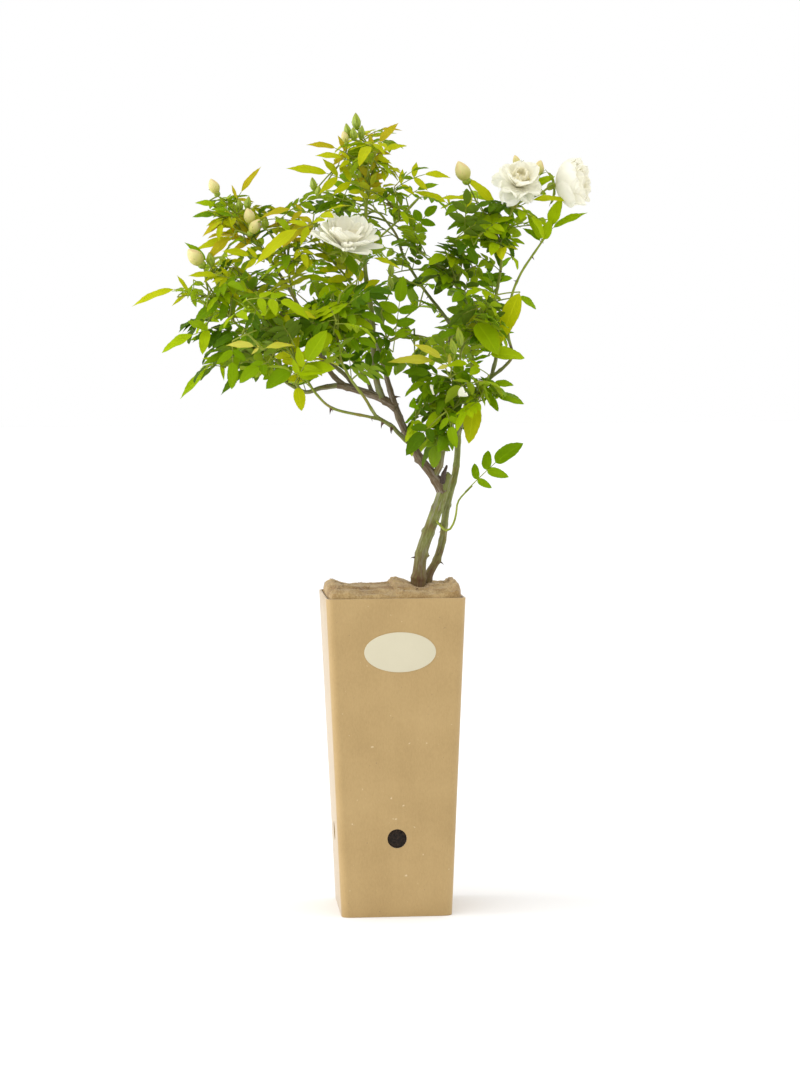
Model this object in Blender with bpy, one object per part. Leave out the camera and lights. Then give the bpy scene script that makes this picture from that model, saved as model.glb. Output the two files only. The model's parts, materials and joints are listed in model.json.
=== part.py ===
"""A young double white rose in a tall square kraft pot, each sub-part one named solid.

Run with: blender --background --python part.py
Sizes are in millimetres and are turned into metres by MM. +Z is up, the viewer
stands at -Y, and the origin is the middle of the pot's flat underside.
"""
import math
import random

import bmesh
import bpy
from mathutils import Matrix, Vector
from mathutils.bvhtree import BVHTree

MM = 0.001
GAP = 0.3
UP = Vector((0.0, 0.0, 1.0))

# Pot
POT_HEIGHT = 240.0
POT_TOP_WIDTH = 104.3
POT_FOOT_WIDTH = 83.6
POT_CORNER = 6.5
POT_WALL = 1.7
POT_FLOOR = 2.4
CORNER_STEPS = 4
HOLE_DIAMETER = 14.5
HOLE_HEIGHT = 59.4
HOLE_SIDES = 16

# Root ball and the torn paper packed over it
SOIL_TOP = 233.0
PAPER_FOOT = SOIL_TOP + GAP
PAPER_LEVEL = 243.0
PAPER_RISE = 6.0
PAPER_CELLS = 9
PAPER_OVERSIZE = 6.0
PAPER_CUT_HEIGHT = 40.0
PAPER_PAD_HEIGHT = 25.0
STEM_CLEARANCE = 0.5

# Label
LABEL_WIDTH = 53.5
LABEL_HEIGHT = 30.0
LABEL_THICKNESS = 0.5
LABEL_ACROSS = 2.6
LABEL_LEVEL = 200.0
LABEL_SIDES = 28

# Limbs: the bends of each centre line, its radius at foot and tip, its sides.
# "parent" is the limb that it grows from; it is cut back GAP from that one.
LIMB_STEP = 16.0
FLARE = 1.55
FLARE_LENGTH = 16.0
FLARE_CURVE = 1.5
LIMBS = {
    "trunk": dict(
        bends=[(19, 0, SOIL_TOP + GAP), (21, 0, 250), (23, 0, 268), (28, 0, 284), (33, 0, 297),
               (38, -1, 311), (41, -1, 322), (43.5, -1, 330)],
        foot=4.5, tip=4.0, sides=10, flare=True),
    "second_stem": dict(
        bends=[(28, 10, SOIL_TOP + GAP), (29, 10, 251), (36, 12, 264), (41, 14, 280), (44, 15, 303),
               (51, 14, 331), (53, 13, 354), (53, 12, 372)],
        foot=2.9, tip=2.1, sides=8, flare=True),
    "arch_lower": dict(
        bends=[(53, 12, 373), (52, 14, 398), (52, 15, 417), (48, 16, 428), (49, 18, 440)],
        foot=1.8, tip=1.5, sides=6, follows="second_stem"),
    "arch_upper": dict(
        bends=[(49, 18, 441), (45, 20, 449), (28, 25, 472), (14, 26, 495), (8, 26, 512), (-2, 28, 526)],
        foot=1.4, tip=1.0, sides=6, follows="arch_lower"),
    "main_bough": dict(
        bends=[(40, -1, 317), (32, -3, 330), (21, -6, 344), (13, -8, 359), (7, -8, 372), (2, -8, 387),
               (-3, -8, 404)],
        foot=3.9, tip=1.9, sides=9, parent="trunk"),
    "middle_rise": dict(
        bends=[(-3, -8, 405), (-10, -13, 428), (-20, -17, 452), (-27, -19, 468)],
        foot=1.7, tip=1.1, sides=6, follows="main_bough"),
    "left_bough": dict(
        bends=[(4, -8, 381), (-5, -5, 387), (-14, 0, 391), (-23, 4, 394), (-33, 7, 397), (-39, 8, 398)],
        foot=2.9, tip=2.4, sides=8, parent="main_bough"),
    "left_arm": dict(
        bends=[(-39, 8, 398), (-52, 7, 396), (-63, 6, 393), (-74, 5, 398), (-84, 5, 405)],
        foot=1.9, tip=1.2, sides=6, follows="left_bough"),
    "left_reach": dict(
        bends=[(-66, 6, 393), (-78, -8, 408), (-96, -12, 427), (-112, -11, 441)],
        foot=1.3, tip=1.0, sides=6, parent="left_arm"),
    "left_rise": dict(
        bends=[(-33, 7, 397), (-44, 13, 408), (-57, 18, 432), (-69, 17, 461), (-86, 13, 489)],
        foot=2.0, tip=1.2, sides=6, parent="left_bough"),
    "left_spur": dict(
        bends=[(-67, 17, 456), (-72, 8, 466), (-75, -1, 479)],
        foot=1.1, tip=0.9, sides=5, parent="left_rise"),
    "back_left_bough": dict(
        bends=[(-24, 4, 394), (-34, 16, 407), (-55, 36, 424), (-78, 50, 440)],
        foot=1.8, tip=1.1, sides=6, parent="left_bough"),
    "back_bough": dict(
        bends=[(-13, 0, 391), (-16, 18, 402), (-24, 38, 415), (-33, 50, 427)],
        foot=1.7, tip=1.1, sides=6, parent="left_bough"),
    "leader": dict(
        bends=[(-6, -5, 388), (-10, -1, 402), (-12, 2, 428), (-13, 2, 452), (-18, 0, 487), (-17, 0, 530)],
        foot=2.3, tip=1.4, sides=7, parent="left_bough"),
    "leader_side": dict(
        bends=[(-17.7, 0, 497), (-8, -4, 508), (2, -7, 517)],
        foot=1.1, tip=0.9, sides=5, parent="leader"),
    "front_lateral": dict(
        bends=[(18, -7, 350), (5, -18, 362), (0, -24, 367), (-10, -32, 373), (-13, -35, 375)],
        foot=1.9, tip=1.5, sides=6, parent="main_bough"),
    "front_rise": dict(
        bends=[(-13, -35, 375), (-17, -38, 381), (-22, -42, 389), (-32, -48, 402), (-38, -53, 412)],
        foot=1.3, tip=1.0, sides=5, follows="front_lateral"),
    "front_arm": dict(
        bends=[(-9, -31, 372.5), (-20, -38, 375), (-45, -42, 381), (-58, -46, 392), (-68, -50, 407)],
        foot=1.3, tip=1.0, sides=5, parent="front_lateral"),
    "right_bough": dict(
        bends=[(33, -3, 329), (37, -7, 337), (40, -11, 351), (49, -15, 361), (54, -18, 371),
               (61, -20, 382), (66, -22, 391), (76, -20, 406)],
        foot=2.4, tip=1.7, sides=7, parent="main_bough"),
    "right_rise": dict(
        bends=[(76, -20, 407), (79, -18, 421), (75, -14, 443), (79, -10, 460), (84, -6, 483), (85, -5, 496)],
        foot=1.5, tip=1.1, sides=6, follows="right_bough"),
    "right_outer": dict(
        bends=[(73.5, -20.5, 402.5), (84, -26, 411), (90, -28, 420), (87, -28, 436), (89, -26, 460),
               (97, -22, 480), (110, -18, 499), (119, -14, 511)],
        foot=1.4, tip=1.0, sides=6, parent="right_bough"),
    "yellow_shoot": dict(
        bends=[(57, -19, 376), (57, -9, 390), (55, -3, 406), (54, 0, 421), (60, 0, 436), (61, 1, 448)],
        foot=1.3, tip=1.0, sides=5, parent="right_bough"),
    "back_right_bough": dict(
        bends=[(52.5, 13, 350), (57, 26, 368), (64, 42, 392), (67, 50, 406)],
        foot=1.7, tip=1.1, sides=6, parent="second_stem"),
}

# Foliage: the middle and the reach of each mass, the bough that feeds it (at its
# tip, or on its side at a share of its length, heading out as given), how many
# twigs and compound leaves its stem bears, and the leaf tips that make the
# crown's outline. A bloom is its foot, its middle and its radius, a bud its foot,
# its tip and its radius.
MASSES = {
    "foliage_top": dict(
        middle=(-15, 0, 562), reach=(34, 38, 37), bough="leader", twigs=2, leaves=7,
        tips=[(-60, -4, 581), (8, -3, 594), (-72, -2, 563), (-8, 2, 584)],
        buds=[((-23, 0, 586), (-24, 0, 603), 4.0), ((-28, -4, 577), (-33, -6, 590), 3.4),
              ((-53, -6, 534), (-55, -8, 548), 3.4)]),
    "foliage_top_right": dict(
        middle=(18, -8, 530), reach=(34, 36, 31), bough="leader_side", twigs=2, leaves=5,
        tips=[(44, -4, 558)]),
    "foliage_inner_top": dict(
        middle=(-40, -30, 500), reach=(42, 38, 36), bough="middle_rise", twigs=2, leaves=6,
        blooms=[((-35, -30, 497), (-31, -38, 510), 26.0)]),
    "foliage_back_top": dict(
        middle=(-14, 56, 518), reach=(44, 40, 42), bough="arch_upper", twigs=2, leaves=7,
        blooms=[((-30, 74, 533), (-34, 84, 543), 18.0)]),
    "foliage_upper_left": dict(
        middle=(-124, 6, 521), reach=(36, 42, 37), bough="left_rise", twigs=2, leaves=7,
        tips=[(-98, 2, 562), (-145, 4, 537), (-150, 2, 509)],
        buds=[((-128, 2, 540), (-132, 0, 555), 4.4), ((-108, -8, 525), (-108, -10, 538), 4.0)]),
    "foliage_mid_left": dict(
        middle=(-76, -12, 502), reach=(36, 40, 38), bough="left_spur", twigs=2, leaves=7),
    "foliage_left": dict(
        middle=(-132, -12, 464), reach=(34, 42, 36), bough="left_reach", twigs=2, leaves=7,
        tips=[(-194, -12, 463), (-171, -10, 447)],
        buds=[((-138, -12, 485), (-148, -14, 497), 6.4)]),
    "foliage_left_low": dict(
        middle=(-110, 12, 422), reach=(50, 48, 32), bough="left_arm", twigs=2, leaves=7,
        tips=[(-160, 2, 393), (-129, 0, 394)]),
    "foliage_front_left": dict(
        middle=(-88, -56, 440), reach=(42, 40, 44), bough="front_arm", twigs=2, leaves=8,
        tips=[(-68, -50, 381)]),
    "foliage_front": dict(
        middle=(-40, -58, 447), reach=(38, 40, 46), bough="front_rise", twigs=2, leaves=8),
    "foliage_back": dict(
        middle=(-42, 64, 450), reach=(44, 42, 46), bough="back_bough", twigs=2, leaves=6),
    "foliage_back_left": dict(
        middle=(-106, 62, 472), reach=(46, 42, 46), bough="back_left_bough", twigs=2, leaves=5,
        buds=[((-118, 88, 502), (-122, 94, 516), 4.6)]),
    "foliage_centre": dict(
        middle=(10, -20, 432), reach=(30, 34, 44), bough="leader", side=0.3,
        heading=(1.0, -0.5, 0.3), twigs=2, leaves=8),
    "foliage_right_middle": dict(
        middle=(32, 6, 482), reach=(40, 38, 44), bough="yellow_shoot", twigs=2, leaves=8),
    "foliage_right": dict(
        middle=(68, -42, 442), reach=(36, 36, 42), bough="right_rise", side=0.36,
        heading=(-0.1, -1.0, 0.3), twigs=2, leaves=8, tips=[(113, -28, 457), (103, -32, 424)]),
    "foliage_back_right": dict(
        middle=(68, 58, 442), reach=(42, 42, 46), bough="back_right_bough", twigs=2, leaves=5),
    "foliage_upper_right": dict(
        middle=(76, -8, 512), reach=(38, 42, 46), bough="right_rise", twigs=2, leaves=7,
        blooms=[((94, -20, 545), (95, -34, 551), 18.0)],
        buds=[((63, -2, 547), (54, -3, 566), 5.6), ((96, 2, 556), (97, 2, 568), 3.2),
              ((112, 0, 552), (114, -2, 564), 3.2)]),
    "foliage_far_right": dict(
        middle=(138, -12, 534), reach=(24, 28, 34), bough="right_outer", twigs=1, leaves=1,
        tips=[(152, -10, 530)],
        blooms=[((126, -11, 546), (139, -11, 548), 19.0)]),
    "foliage_low_right": dict(
        middle=(68, -42, 396), reach=(36, 32, 32), bough="right_bough", side=0.66,
        heading=(0.1, -1.0, 0.2), twigs=2, leaves=6,
        tips=[(101, -34, 387)]),
    "foliage_fork": dict(
        middle=(34, -28, 382), reach=(30, 32, 42), bough="right_bough", side=0.38,
        heading=(-0.4, -1.0, 0.4), twigs=2, leaves=5,
        tips=[(57, -34, 357)]),
    "low_sprig": dict(
        middle=(64, -24, 322), reach=(40, 26, 40), bough="trunk", side=0.62,
        heading=(0.7, -0.7, 0.1), stem=[(40, -14, 292), (46, -18, 303), (50, -20, 313), (59, -22, 322)],
        twigs=0, leaves=0, tips=[(96, -30, 354)], face=(-0.2, -1.0, 0.5)),
}

# Leaves
GOLDEN_ANGLE = math.radians(137.508)
LEAF_LENGTH = 57.0
LEAF_SPREAD = (0.8, 1.0)
END_SPREAD = (0.9, 1.0)
LEAF_BOW = 0.22
LEAF_SAG = 2.0
BOW_PEAK = 0.45
FACE_UP = 0.5
FACE_OUT = 0.5
FACE_CHANCE = 0.7
CROWN_MIDDLE = Vector((-20.0, 8.0, 455.0))
STALK_END = 0.56
PAIRS_AT = (0.22, 0.51)
PAIR_ANGLE = math.radians(66)
PAIR_STRAY = 0.06
PAIR_DROOP = 0.12
PAIR_ROOT = 0.035
HEADING_STEP = 0.02
SIDE_SHARE = 0.44
SIDE_SPREAD = (0.85, 1.0)
TIP_DROOP = 0.04
BLADE_WIDTH = 0.54
BLADE_THICKNESS = 0.045
BLADE_WAIST = 0.45
ROOT_RADIUS = 0.38
STALK_RADIUS = 0.65
STALK_TAPER = 0.3
BLOOM_STALK_RADIUS = 0.85
TWIG_RADIUS = 0.85
STEM_RADIUS = 0.95
STEM_STEPS = 6
STEM_REACH = 0.30
STEM_RISE = 0.15
STEM_SIDES = 6
TWIG_REACH = 0.5
TWIG_BOW = 0.12
TWIG_STEPS = 3
TWIG_FLATNESS = 0.4
TWIG_RISE = 0.15
BLOOM_SINK = 0.10
BUD_SINK = 0.15
STALK_BOW = 0.1
LEAF_TRIES = 24
LEAF_STRAY = 0.6
FIRST_STRAY = 0.2
NODES_TRIED = 8
NODE_CROWDING = 12.0
SHORTEST_LEAF = 0.55
LONGEST_LEAF = 1.1
CELL_MARGIN = 0.3
LIMB_MARGIN = 0.6
REACH_STRETCH = 1.18
FREE_REACH = 3.0

# Blooms and buds as turned shapes: each ring's share of the length and of the radius
BLOOM_RINGS = ((0.0, 0.10), (0.45, 0.72), (0.80, 1.0), (1.05, 0.62))
BLOOM_SIDES = 9
BUD_RINGS = ((0.0, 0.25), (0.42, 1.0), (0.78, 0.62))
BUD_SIDES = 6


def material(name, colour, roughness, metallic=0.0):
    """A Principled BSDF with one colour, made once for each name."""
    found = bpy.data.materials.get(name)
    if found:
        return found
    made = bpy.data.materials.new(name)
    made.use_nodes = True
    made.diffuse_color = (*colour, 1.0)
    shader = made.node_tree.nodes["Principled BSDF"]
    shader.inputs["Base Color"].default_value = (*colour, 1.0)
    shader.inputs["Roughness"].default_value = roughness
    shader.inputs["Metallic"].default_value = metallic
    return made


def kraft():
    return material("kraft", (0.53, 0.36, 0.17), 0.85)


def bark():
    return material("bark", (0.20, 0.17, 0.08), 0.75)


def leaf_green():
    return material("leaf green", (0.16, 0.30, 0.02), 0.5)


def body(points, faces):
    """A closed body in millimetres as a mesh in metres."""
    mesh = bpy.data.meshes.new("body")
    mesh.from_pydata([Vector(p) * MM for p in points], [], faces)
    shape = bmesh.new()
    shape.from_mesh(mesh)
    bmesh.ops.recalc_face_normals(shape, faces=shape.faces)
    shape.to_mesh(mesh)
    shape.free()
    return mesh


def place(name, mesh, look, smooth=None):
    """One named object with one material."""
    thing = bpy.data.objects.new(name, mesh)
    bpy.context.scene.collection.objects.link(thing)
    mesh.name = name
    mesh.materials.clear()
    mesh.materials.append(look)
    if smooth is not None:
        mesh.shade_smooth()
        mesh.set_sharp_from_angle(angle=math.radians(smooth))
    return thing


def evaluated_mesh(thing):
    """The object's mesh with its modifiers applied."""
    graph = bpy.context.evaluated_depsgraph_get()
    return bpy.data.meshes.new_from_object(thing.evaluated_get(graph), depsgraph=graph)


def drop(*things):
    """Remove objects from the scene and the file."""
    for thing in things:
        bpy.data.objects.remove(thing)


def cut(thing, cutter):
    """Take the cutter out of the object and apply it."""
    cutter.hide_render = True
    cutter.display_type = "WIRE"
    change = thing.modifiers.new("cut", "BOOLEAN")
    change.operation = "DIFFERENCE"
    change.solver = "EXACT"
    change.object = cutter
    result = evaluated_mesh(thing)
    thing.modifiers.clear()
    thing.data = result
    drop(cutter)


def tree_of(mesh):
    """A tree of the mesh's faces for overlap tests."""
    return BVHTree.FromPolygons([v.co for v in mesh.vertices], [tuple(f.vertices) for f in mesh.polygons])


def is_closed(mesh):
    """Whether every edge has just two faces."""
    shape = bmesh.new()
    shape.from_mesh(mesh)
    closed = all(len(edge.link_faces) == 2 for edge in shape.edges)
    shape.free()
    return closed


def keep_largest(thing):
    """Drop every scrap but the body with the most faces, going from face to face over edges."""
    shape = bmesh.new()
    shape.from_mesh(thing.data)
    left = set(shape.faces)
    islands = []
    while left:
        island = {left.pop()}
        front = list(island)
        while front:
            for edge in front.pop().edges:
                for other in edge.link_faces:
                    if other in left:
                        left.discard(other)
                        island.add(other)
                        front.append(other)
        islands.append(island)
    keep = max(islands, key=len)
    bmesh.ops.delete(shape, geom=[face for face in shape.faces if face not in keep], context="FACES")
    shape.to_mesh(thing.data)
    shape.free()


# Pot, root ball, paper and label


def pot_half_width(height):
    """Half the pot's outer width at a height."""
    share = height / POT_HEIGHT
    return 0.5 * (POT_FOOT_WIDTH + (POT_TOP_WIDTH - POT_FOOT_WIDTH) * share)


def rounded_square(half, corner, height):
    """Points of a square ring with round corners, anticlockwise seen from above."""
    ring = []
    for quarter in range(4):
        turn = math.radians(90 * quarter)
        for step in range(CORNER_STEPS + 1):
            angle = math.radians(90.0 * step / CORNER_STEPS)
            x = half - corner + corner * math.cos(angle)
            y = half - corner + corner * math.sin(angle)
            ring.append((x * math.cos(turn) - y * math.sin(turn),
                         x * math.sin(turn) + y * math.cos(turn), height))
    return ring


def loft(rings):
    """A closed body through rings of equal count, capped at both ends."""
    count = len(rings[0])
    points = [p for ring in rings for p in ring]
    faces = [tuple(reversed(range(count)))]
    for level in range(len(rings) - 1):
        low = level * count
        high = low + count
        for k in range(count):
            after = (k + 1) % count
            faces.append((low + k, low + after, high + after, high + k))
    top = (len(rings) - 1) * count
    faces.append(tuple(top + k for k in range(count)))
    return body(points, faces)


def build_pot():
    """The tapered shell with its flat floor and one round hole low on each face."""
    inner = POT_CORNER - POT_WALL
    mesh = loft([
        rounded_square(pot_half_width(0), POT_CORNER, 0),
        rounded_square(pot_half_width(POT_HEIGHT), POT_CORNER, POT_HEIGHT),
        rounded_square(pot_half_width(POT_HEIGHT) - POT_WALL, inner, POT_HEIGHT),
        rounded_square(pot_half_width(POT_FLOOR) - POT_WALL, inner, POT_FLOOR),
    ])
    pot = place("pot", mesh, kraft(), smooth=40)
    for turn in (0, 90):
        bpy.ops.mesh.primitive_cylinder_add(
            vertices=HOLE_SIDES, radius=0.5 * HOLE_DIAMETER * MM, depth=2 * POT_TOP_WIDTH * MM,
            location=(0, 0, HOLE_HEIGHT * MM), rotation=(math.radians(90), 0, math.radians(turn)))
        cut(pot, bpy.context.active_object)
    return pot


def build_root_ball():
    """The dark ball of roots and soil that fills the pot, just clear of its walls."""
    inset = POT_WALL + GAP
    corner = POT_CORNER - inset
    foot = POT_FLOOR + GAP
    mesh = loft([
        rounded_square(pot_half_width(foot) - inset, corner, foot),
        rounded_square(pot_half_width(SOIL_TOP) - inset, corner, SOIL_TOP),
    ])
    return place("root_ball", mesh, material("soil", (0.02, 0.014, 0.01), 0.95))


def paper_height(x, y, half):
    """The creased top of the torn paper: folds that cross, higher at the back and the right."""
    fold = math.sin(x * 0.21 + 2.0 * math.sin(y * 0.09)) + 0.8 * math.sin(y * 0.27 - x * 0.12 + 1.0)
    fold += 0.6 * math.sin(x * 0.47 + y * 0.35)
    back = 0.5 + 0.5 * y / half
    right = max(0.0, x / half)
    front = max(0.0, -y / half - 0.75) / 0.25
    return PAPER_LEVEL + PAPER_RISE * (0.22 * fold + 0.40 * back + 0.45 * right * right - 0.5 * front)


def build_paper(stems):
    """A creased pad of torn paper that fills the pot's mouth round the stems."""
    half = pot_half_width(PAPER_FOOT) - POT_WALL - GAP
    corner = POT_CORNER - POT_WALL - GAP
    pad = loft([rounded_square(half, corner, PAPER_FOOT),
                rounded_square(half, corner, PAPER_LEVEL + PAPER_PAD_HEIGHT)])
    paper = place("packing_paper", pad, material("torn paper", (0.44, 0.30, 0.14), 0.95))
    # Everything over the creased surface is cut away.
    points = []
    wide = half + PAPER_OVERSIZE
    for row in range(PAPER_CELLS + 1):
        for column in range(PAPER_CELLS + 1):
            x = wide * (2 * column / PAPER_CELLS - 1)
            y = wide * (2 * row / PAPER_CELLS - 1)
            points.append((x, y, paper_height(x, y, half)))
    base = len(points)
    points += [(x, y, PAPER_LEVEL + PAPER_CUT_HEIGHT) for x, y, z in points[:base]]
    side = PAPER_CELLS + 1
    faces = []
    for row in range(PAPER_CELLS):
        for column in range(PAPER_CELLS):
            a = row * side + column
            faces.append((a, a + side, a + side + 1, a + 1))
            faces.append((base + a, base + a + 1, base + a + side + 1, base + a + side))
    for k in range(PAPER_CELLS):
        last = PAPER_CELLS * side
        faces.append((k, k + 1, base + k + 1, base + k))
        faces.append((last + k + 1, last + k, base + last + k, base + last + k + 1))
        faces.append(((k + 1) * side, k * side, base + k * side, base + (k + 1) * side))
        right = PAPER_CELLS
        faces.append((k * side + right, (k + 1) * side + right,
                      base + (k + 1) * side + right, base + k * side + right))
    cut(paper, place("paper cutter", body(points, faces), kraft()))
    for name in stems:
        cut(paper, place("stem cutter", limb_mesh(name, STEM_CLEARANCE), bark()))
    keep_largest(paper)
    return paper


def build_label():
    """A bare oval label on the front face, lying along its slope."""
    slope = math.atan2(pot_half_width(POT_HEIGHT) - pot_half_width(0), POT_HEIGHT)
    rings = []
    for rise in (0.0, LABEL_THICKNESS):
        rings.append([(0.5 * LABEL_WIDTH * math.cos(2 * math.pi * k / LABEL_SIDES),
                       0.5 * LABEL_HEIGHT * math.sin(2 * math.pi * k / LABEL_SIDES), rise)
                      for k in range(LABEL_SIDES)])
    label = place("label", loft(rings), material("label", (0.75, 0.68, 0.50), 0.6))
    label.location = Vector((LABEL_ACROSS, -pot_half_width(LABEL_LEVEL) - GAP, LABEL_LEVEL)) * MM
    label.rotation_euler = (math.radians(90) + slope, 0, 0)
    return label


# Limbs


def smooth_line(bends, step):
    """Points about a step apart on a Catmull-Rom curve through the bends."""
    knots = [Vector(b) for b in bends]
    ends = [2 * knots[0] - knots[1]] + knots + [2 * knots[-1] - knots[-2]]
    line = [knots[0]]
    for k in range(1, len(ends) - 2):
        before, start, end, after = ends[k - 1:k + 3]
        parts = max(1, round((end - start).length / step))
        for part in range(1, parts + 1):
            t = part / parts
            line.append(0.5 * (2 * start + (end - before) * t
                               + (2 * before - 5 * start + 4 * end - after) * t ** 2
                               + (3 * start - before - 3 * end + after) * t ** 3))
    return line


def heading_at(line, k):
    """The direction of a line of points at point k."""
    return (line[min(k + 1, len(line) - 1)] - line[max(k - 1, 0)]).normalized()


def tube(line, radii, sides, foot_flat=False):
    """A closed tube round a line of points, its rings carried along without twist."""
    points = []
    heading = heading_at(line, 0)
    across = heading.orthogonal().normalized()
    for k, centre in enumerate(line):
        now = heading_at(line, k)
        across = (heading.rotation_difference(now) @ across).normalized()
        heading = now
        other = now.cross(across)
        for j in range(sides):
            angle = 2 * math.pi * j / sides
            spoke = (across * math.cos(angle) + other * math.sin(angle)) * radii[k]
            if foot_flat and k == 0:
                spoke.z = 0.0
            points.append(centre + spoke)
    faces = [tuple(reversed(range(sides)))]
    for k in range(len(line) - 1):
        for j in range(sides):
            after = (j + 1) % sides
            low = k * sides
            faces.append((low + j, low + after, low + sides + after, low + sides + j))
    top = (len(line) - 1) * sides
    faces.append(tuple(top + j for j in range(sides)))
    return points, faces


def limb_line(name):
    """The limb's centre line. One that follows another starts inside that one's tip."""
    limb = LIMBS[name]
    line = smooth_line(limb["bends"], LIMB_STEP)
    if "follows" in limb:
        before = limb_line(limb["follows"])
        heading = heading_at(before, len(before) - 1)
        line[0] = before[-1] - heading
        line.insert(1, before[-1] + heading)
    return line


def limb_radii(name, line):
    """Radii that fall evenly from foot to tip, with a flare at the foot of a stem."""
    limb = LIMBS[name]
    radii = []
    travelled = 0.0
    total = sum((b - a).length for a, b in zip(line, line[1:]))
    for k, point in enumerate(line):
        if k:
            travelled += (point - line[k - 1]).length
        radius = limb["foot"] + (limb["tip"] - limb["foot"]) * travelled / total
        if limb.get("flare"):
            radius *= 1 + (FLARE - 1) * max(0.0, 1 - travelled / FLARE_LENGTH) ** FLARE_CURVE
        radii.append(radius)
    return radii


def limb_mesh(name, grow=0.0):
    """The limb's solid, grown all round where it cuts its neighbour."""
    limb = LIMBS[name]
    line = limb_line(name)
    radii = [r + grow for r in limb_radii(name, line)]
    if grow:
        line[0] = line[0] - heading_at(line, 0) * grow
        line[-1] = line[-1] + heading_at(line, len(line) - 1) * grow
    return body(*tube(line, radii, limb["sides"], foot_flat=limb.get("flare", False)))


def build_limb(name, earlier):
    """One tapering limb, cut back from every earlier limb that it touches."""
    limb = place(name, limb_mesh(name), bark(), smooth=50)
    for other in earlier:
        grown = limb_mesh(other, GAP)
        if tree_of(limb.data).overlap(tree_of(grown)):
            cut(limb, place("neighbour cutter", grown, bark()))
    keep_largest(limb)
    return limb


# Foliage


def cell_planes(name):
    """Half spaces that part this mass's space from every other mass's space."""
    own = MASSES[name]
    middle = Vector(own["middle"])
    weight = (sum(own["reach"]) / 3) ** 2
    planes = []
    for other, mass in MASSES.items():
        if other == name:
            continue
        far = Vector(mass["middle"])
        normal = far - middle
        limit = far.length_squared - middle.length_squared - (sum(mass["reach"]) / 3) ** 2 + weight
        planes.append((normal.normalized(), 0.5 * limit / normal.length - CELL_MARGIN))
    return planes


def in_space(points, mass, planes, stretch=REACH_STRETCH):
    """Whether all the points keep to the mass's own space and reach."""
    middle = Vector(mass["middle"])
    for point in points:
        offset = Vector(point) - middle
        if sum((offset[k] / mass["reach"][k]) ** 2 for k in range(3)) > stretch ** 2:
            return False
        if any(normal.dot(point) > limit for normal, limit in planes):
            return False
    return True


def sphere_direction(k, count):
    """Direction k of count spread evenly over a ball by the golden angle."""
    z = 1 - 2 * (k + 0.5) / count
    flat = math.sqrt(max(0.0, 1 - z * z))
    return Vector((flat * math.cos(k * GOLDEN_ANGLE), flat * math.sin(k * GOLDEN_ANGLE), z))


def bow(start, end, lift, steps):
    """A curve from start to end that bows up by a share of its span."""
    span = (end - start).length
    control = start + (end - start) * BOW_PEAK + UP * lift * span
    line = []
    for k in range(steps + 1):
        t = k / steps
        line.append(start * (1 - t) ** 2 + control * 2 * t * (1 - t) + end * t * t)
    return line


def bow_point(start, end, share):
    """A point of the curve that a leaf's stalk follows."""
    control = start + (end - start) * BOW_PEAK + UP * LEAF_BOW * (end - start).length
    return start * (1 - share) ** 2 + control * 2 * share * (1 - share) + end * share * share


def leaflet(points, faces, root, out, toward, face, length):
    """Add a leaflet on its root, which is two upper points and then the two below them."""
    upper_near, upper_far, lower_far, lower_near = root
    base = sum((points[k] for k in root), Vector()) / 4
    out = out.normalized()
    toward = (toward - out * toward.dot(out)).normalized()
    normal = toward.cross(out).normalized()
    if normal.dot(face) < 0:
        normal.negate()
    half = 0.5 * BLADE_WIDTH * length
    waist = base + out * length * BLADE_WAIST
    near, tip, far, below = range(len(points), len(points) + 4)
    points += [waist - toward * half, base + out * length - UP * TIP_DROOP * length, waist + toward * half,
               waist - normal * BLADE_THICKNESS * length]
    faces += [(upper_near, near, tip), (upper_near, tip, upper_far), (upper_far, tip, far),
              (near, lower_near, below), (tip, near, below), (far, tip, below), (lower_far, far, below),
              (upper_near, lower_near, near), (upper_far, far, lower_far)]
    if lower_near != lower_far:
        faces.append((lower_near, lower_far, below))


def any_direction(chance):
    """A vector that may point any way, about 1.6 long."""
    return Vector((chance.gauss(0, 1), chance.gauss(0, 1), chance.gauss(0, 1)))


def leaf_face(start, end, chance):
    """The way a leaf faces: up and out of the crown, and a little by chance."""
    outward = (0.5 * (start + end) - CROWN_MIDDLE).normalized()
    return UP * FACE_UP + outward * FACE_OUT + any_direction(chance).normalized() * FACE_CHANCE


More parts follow.
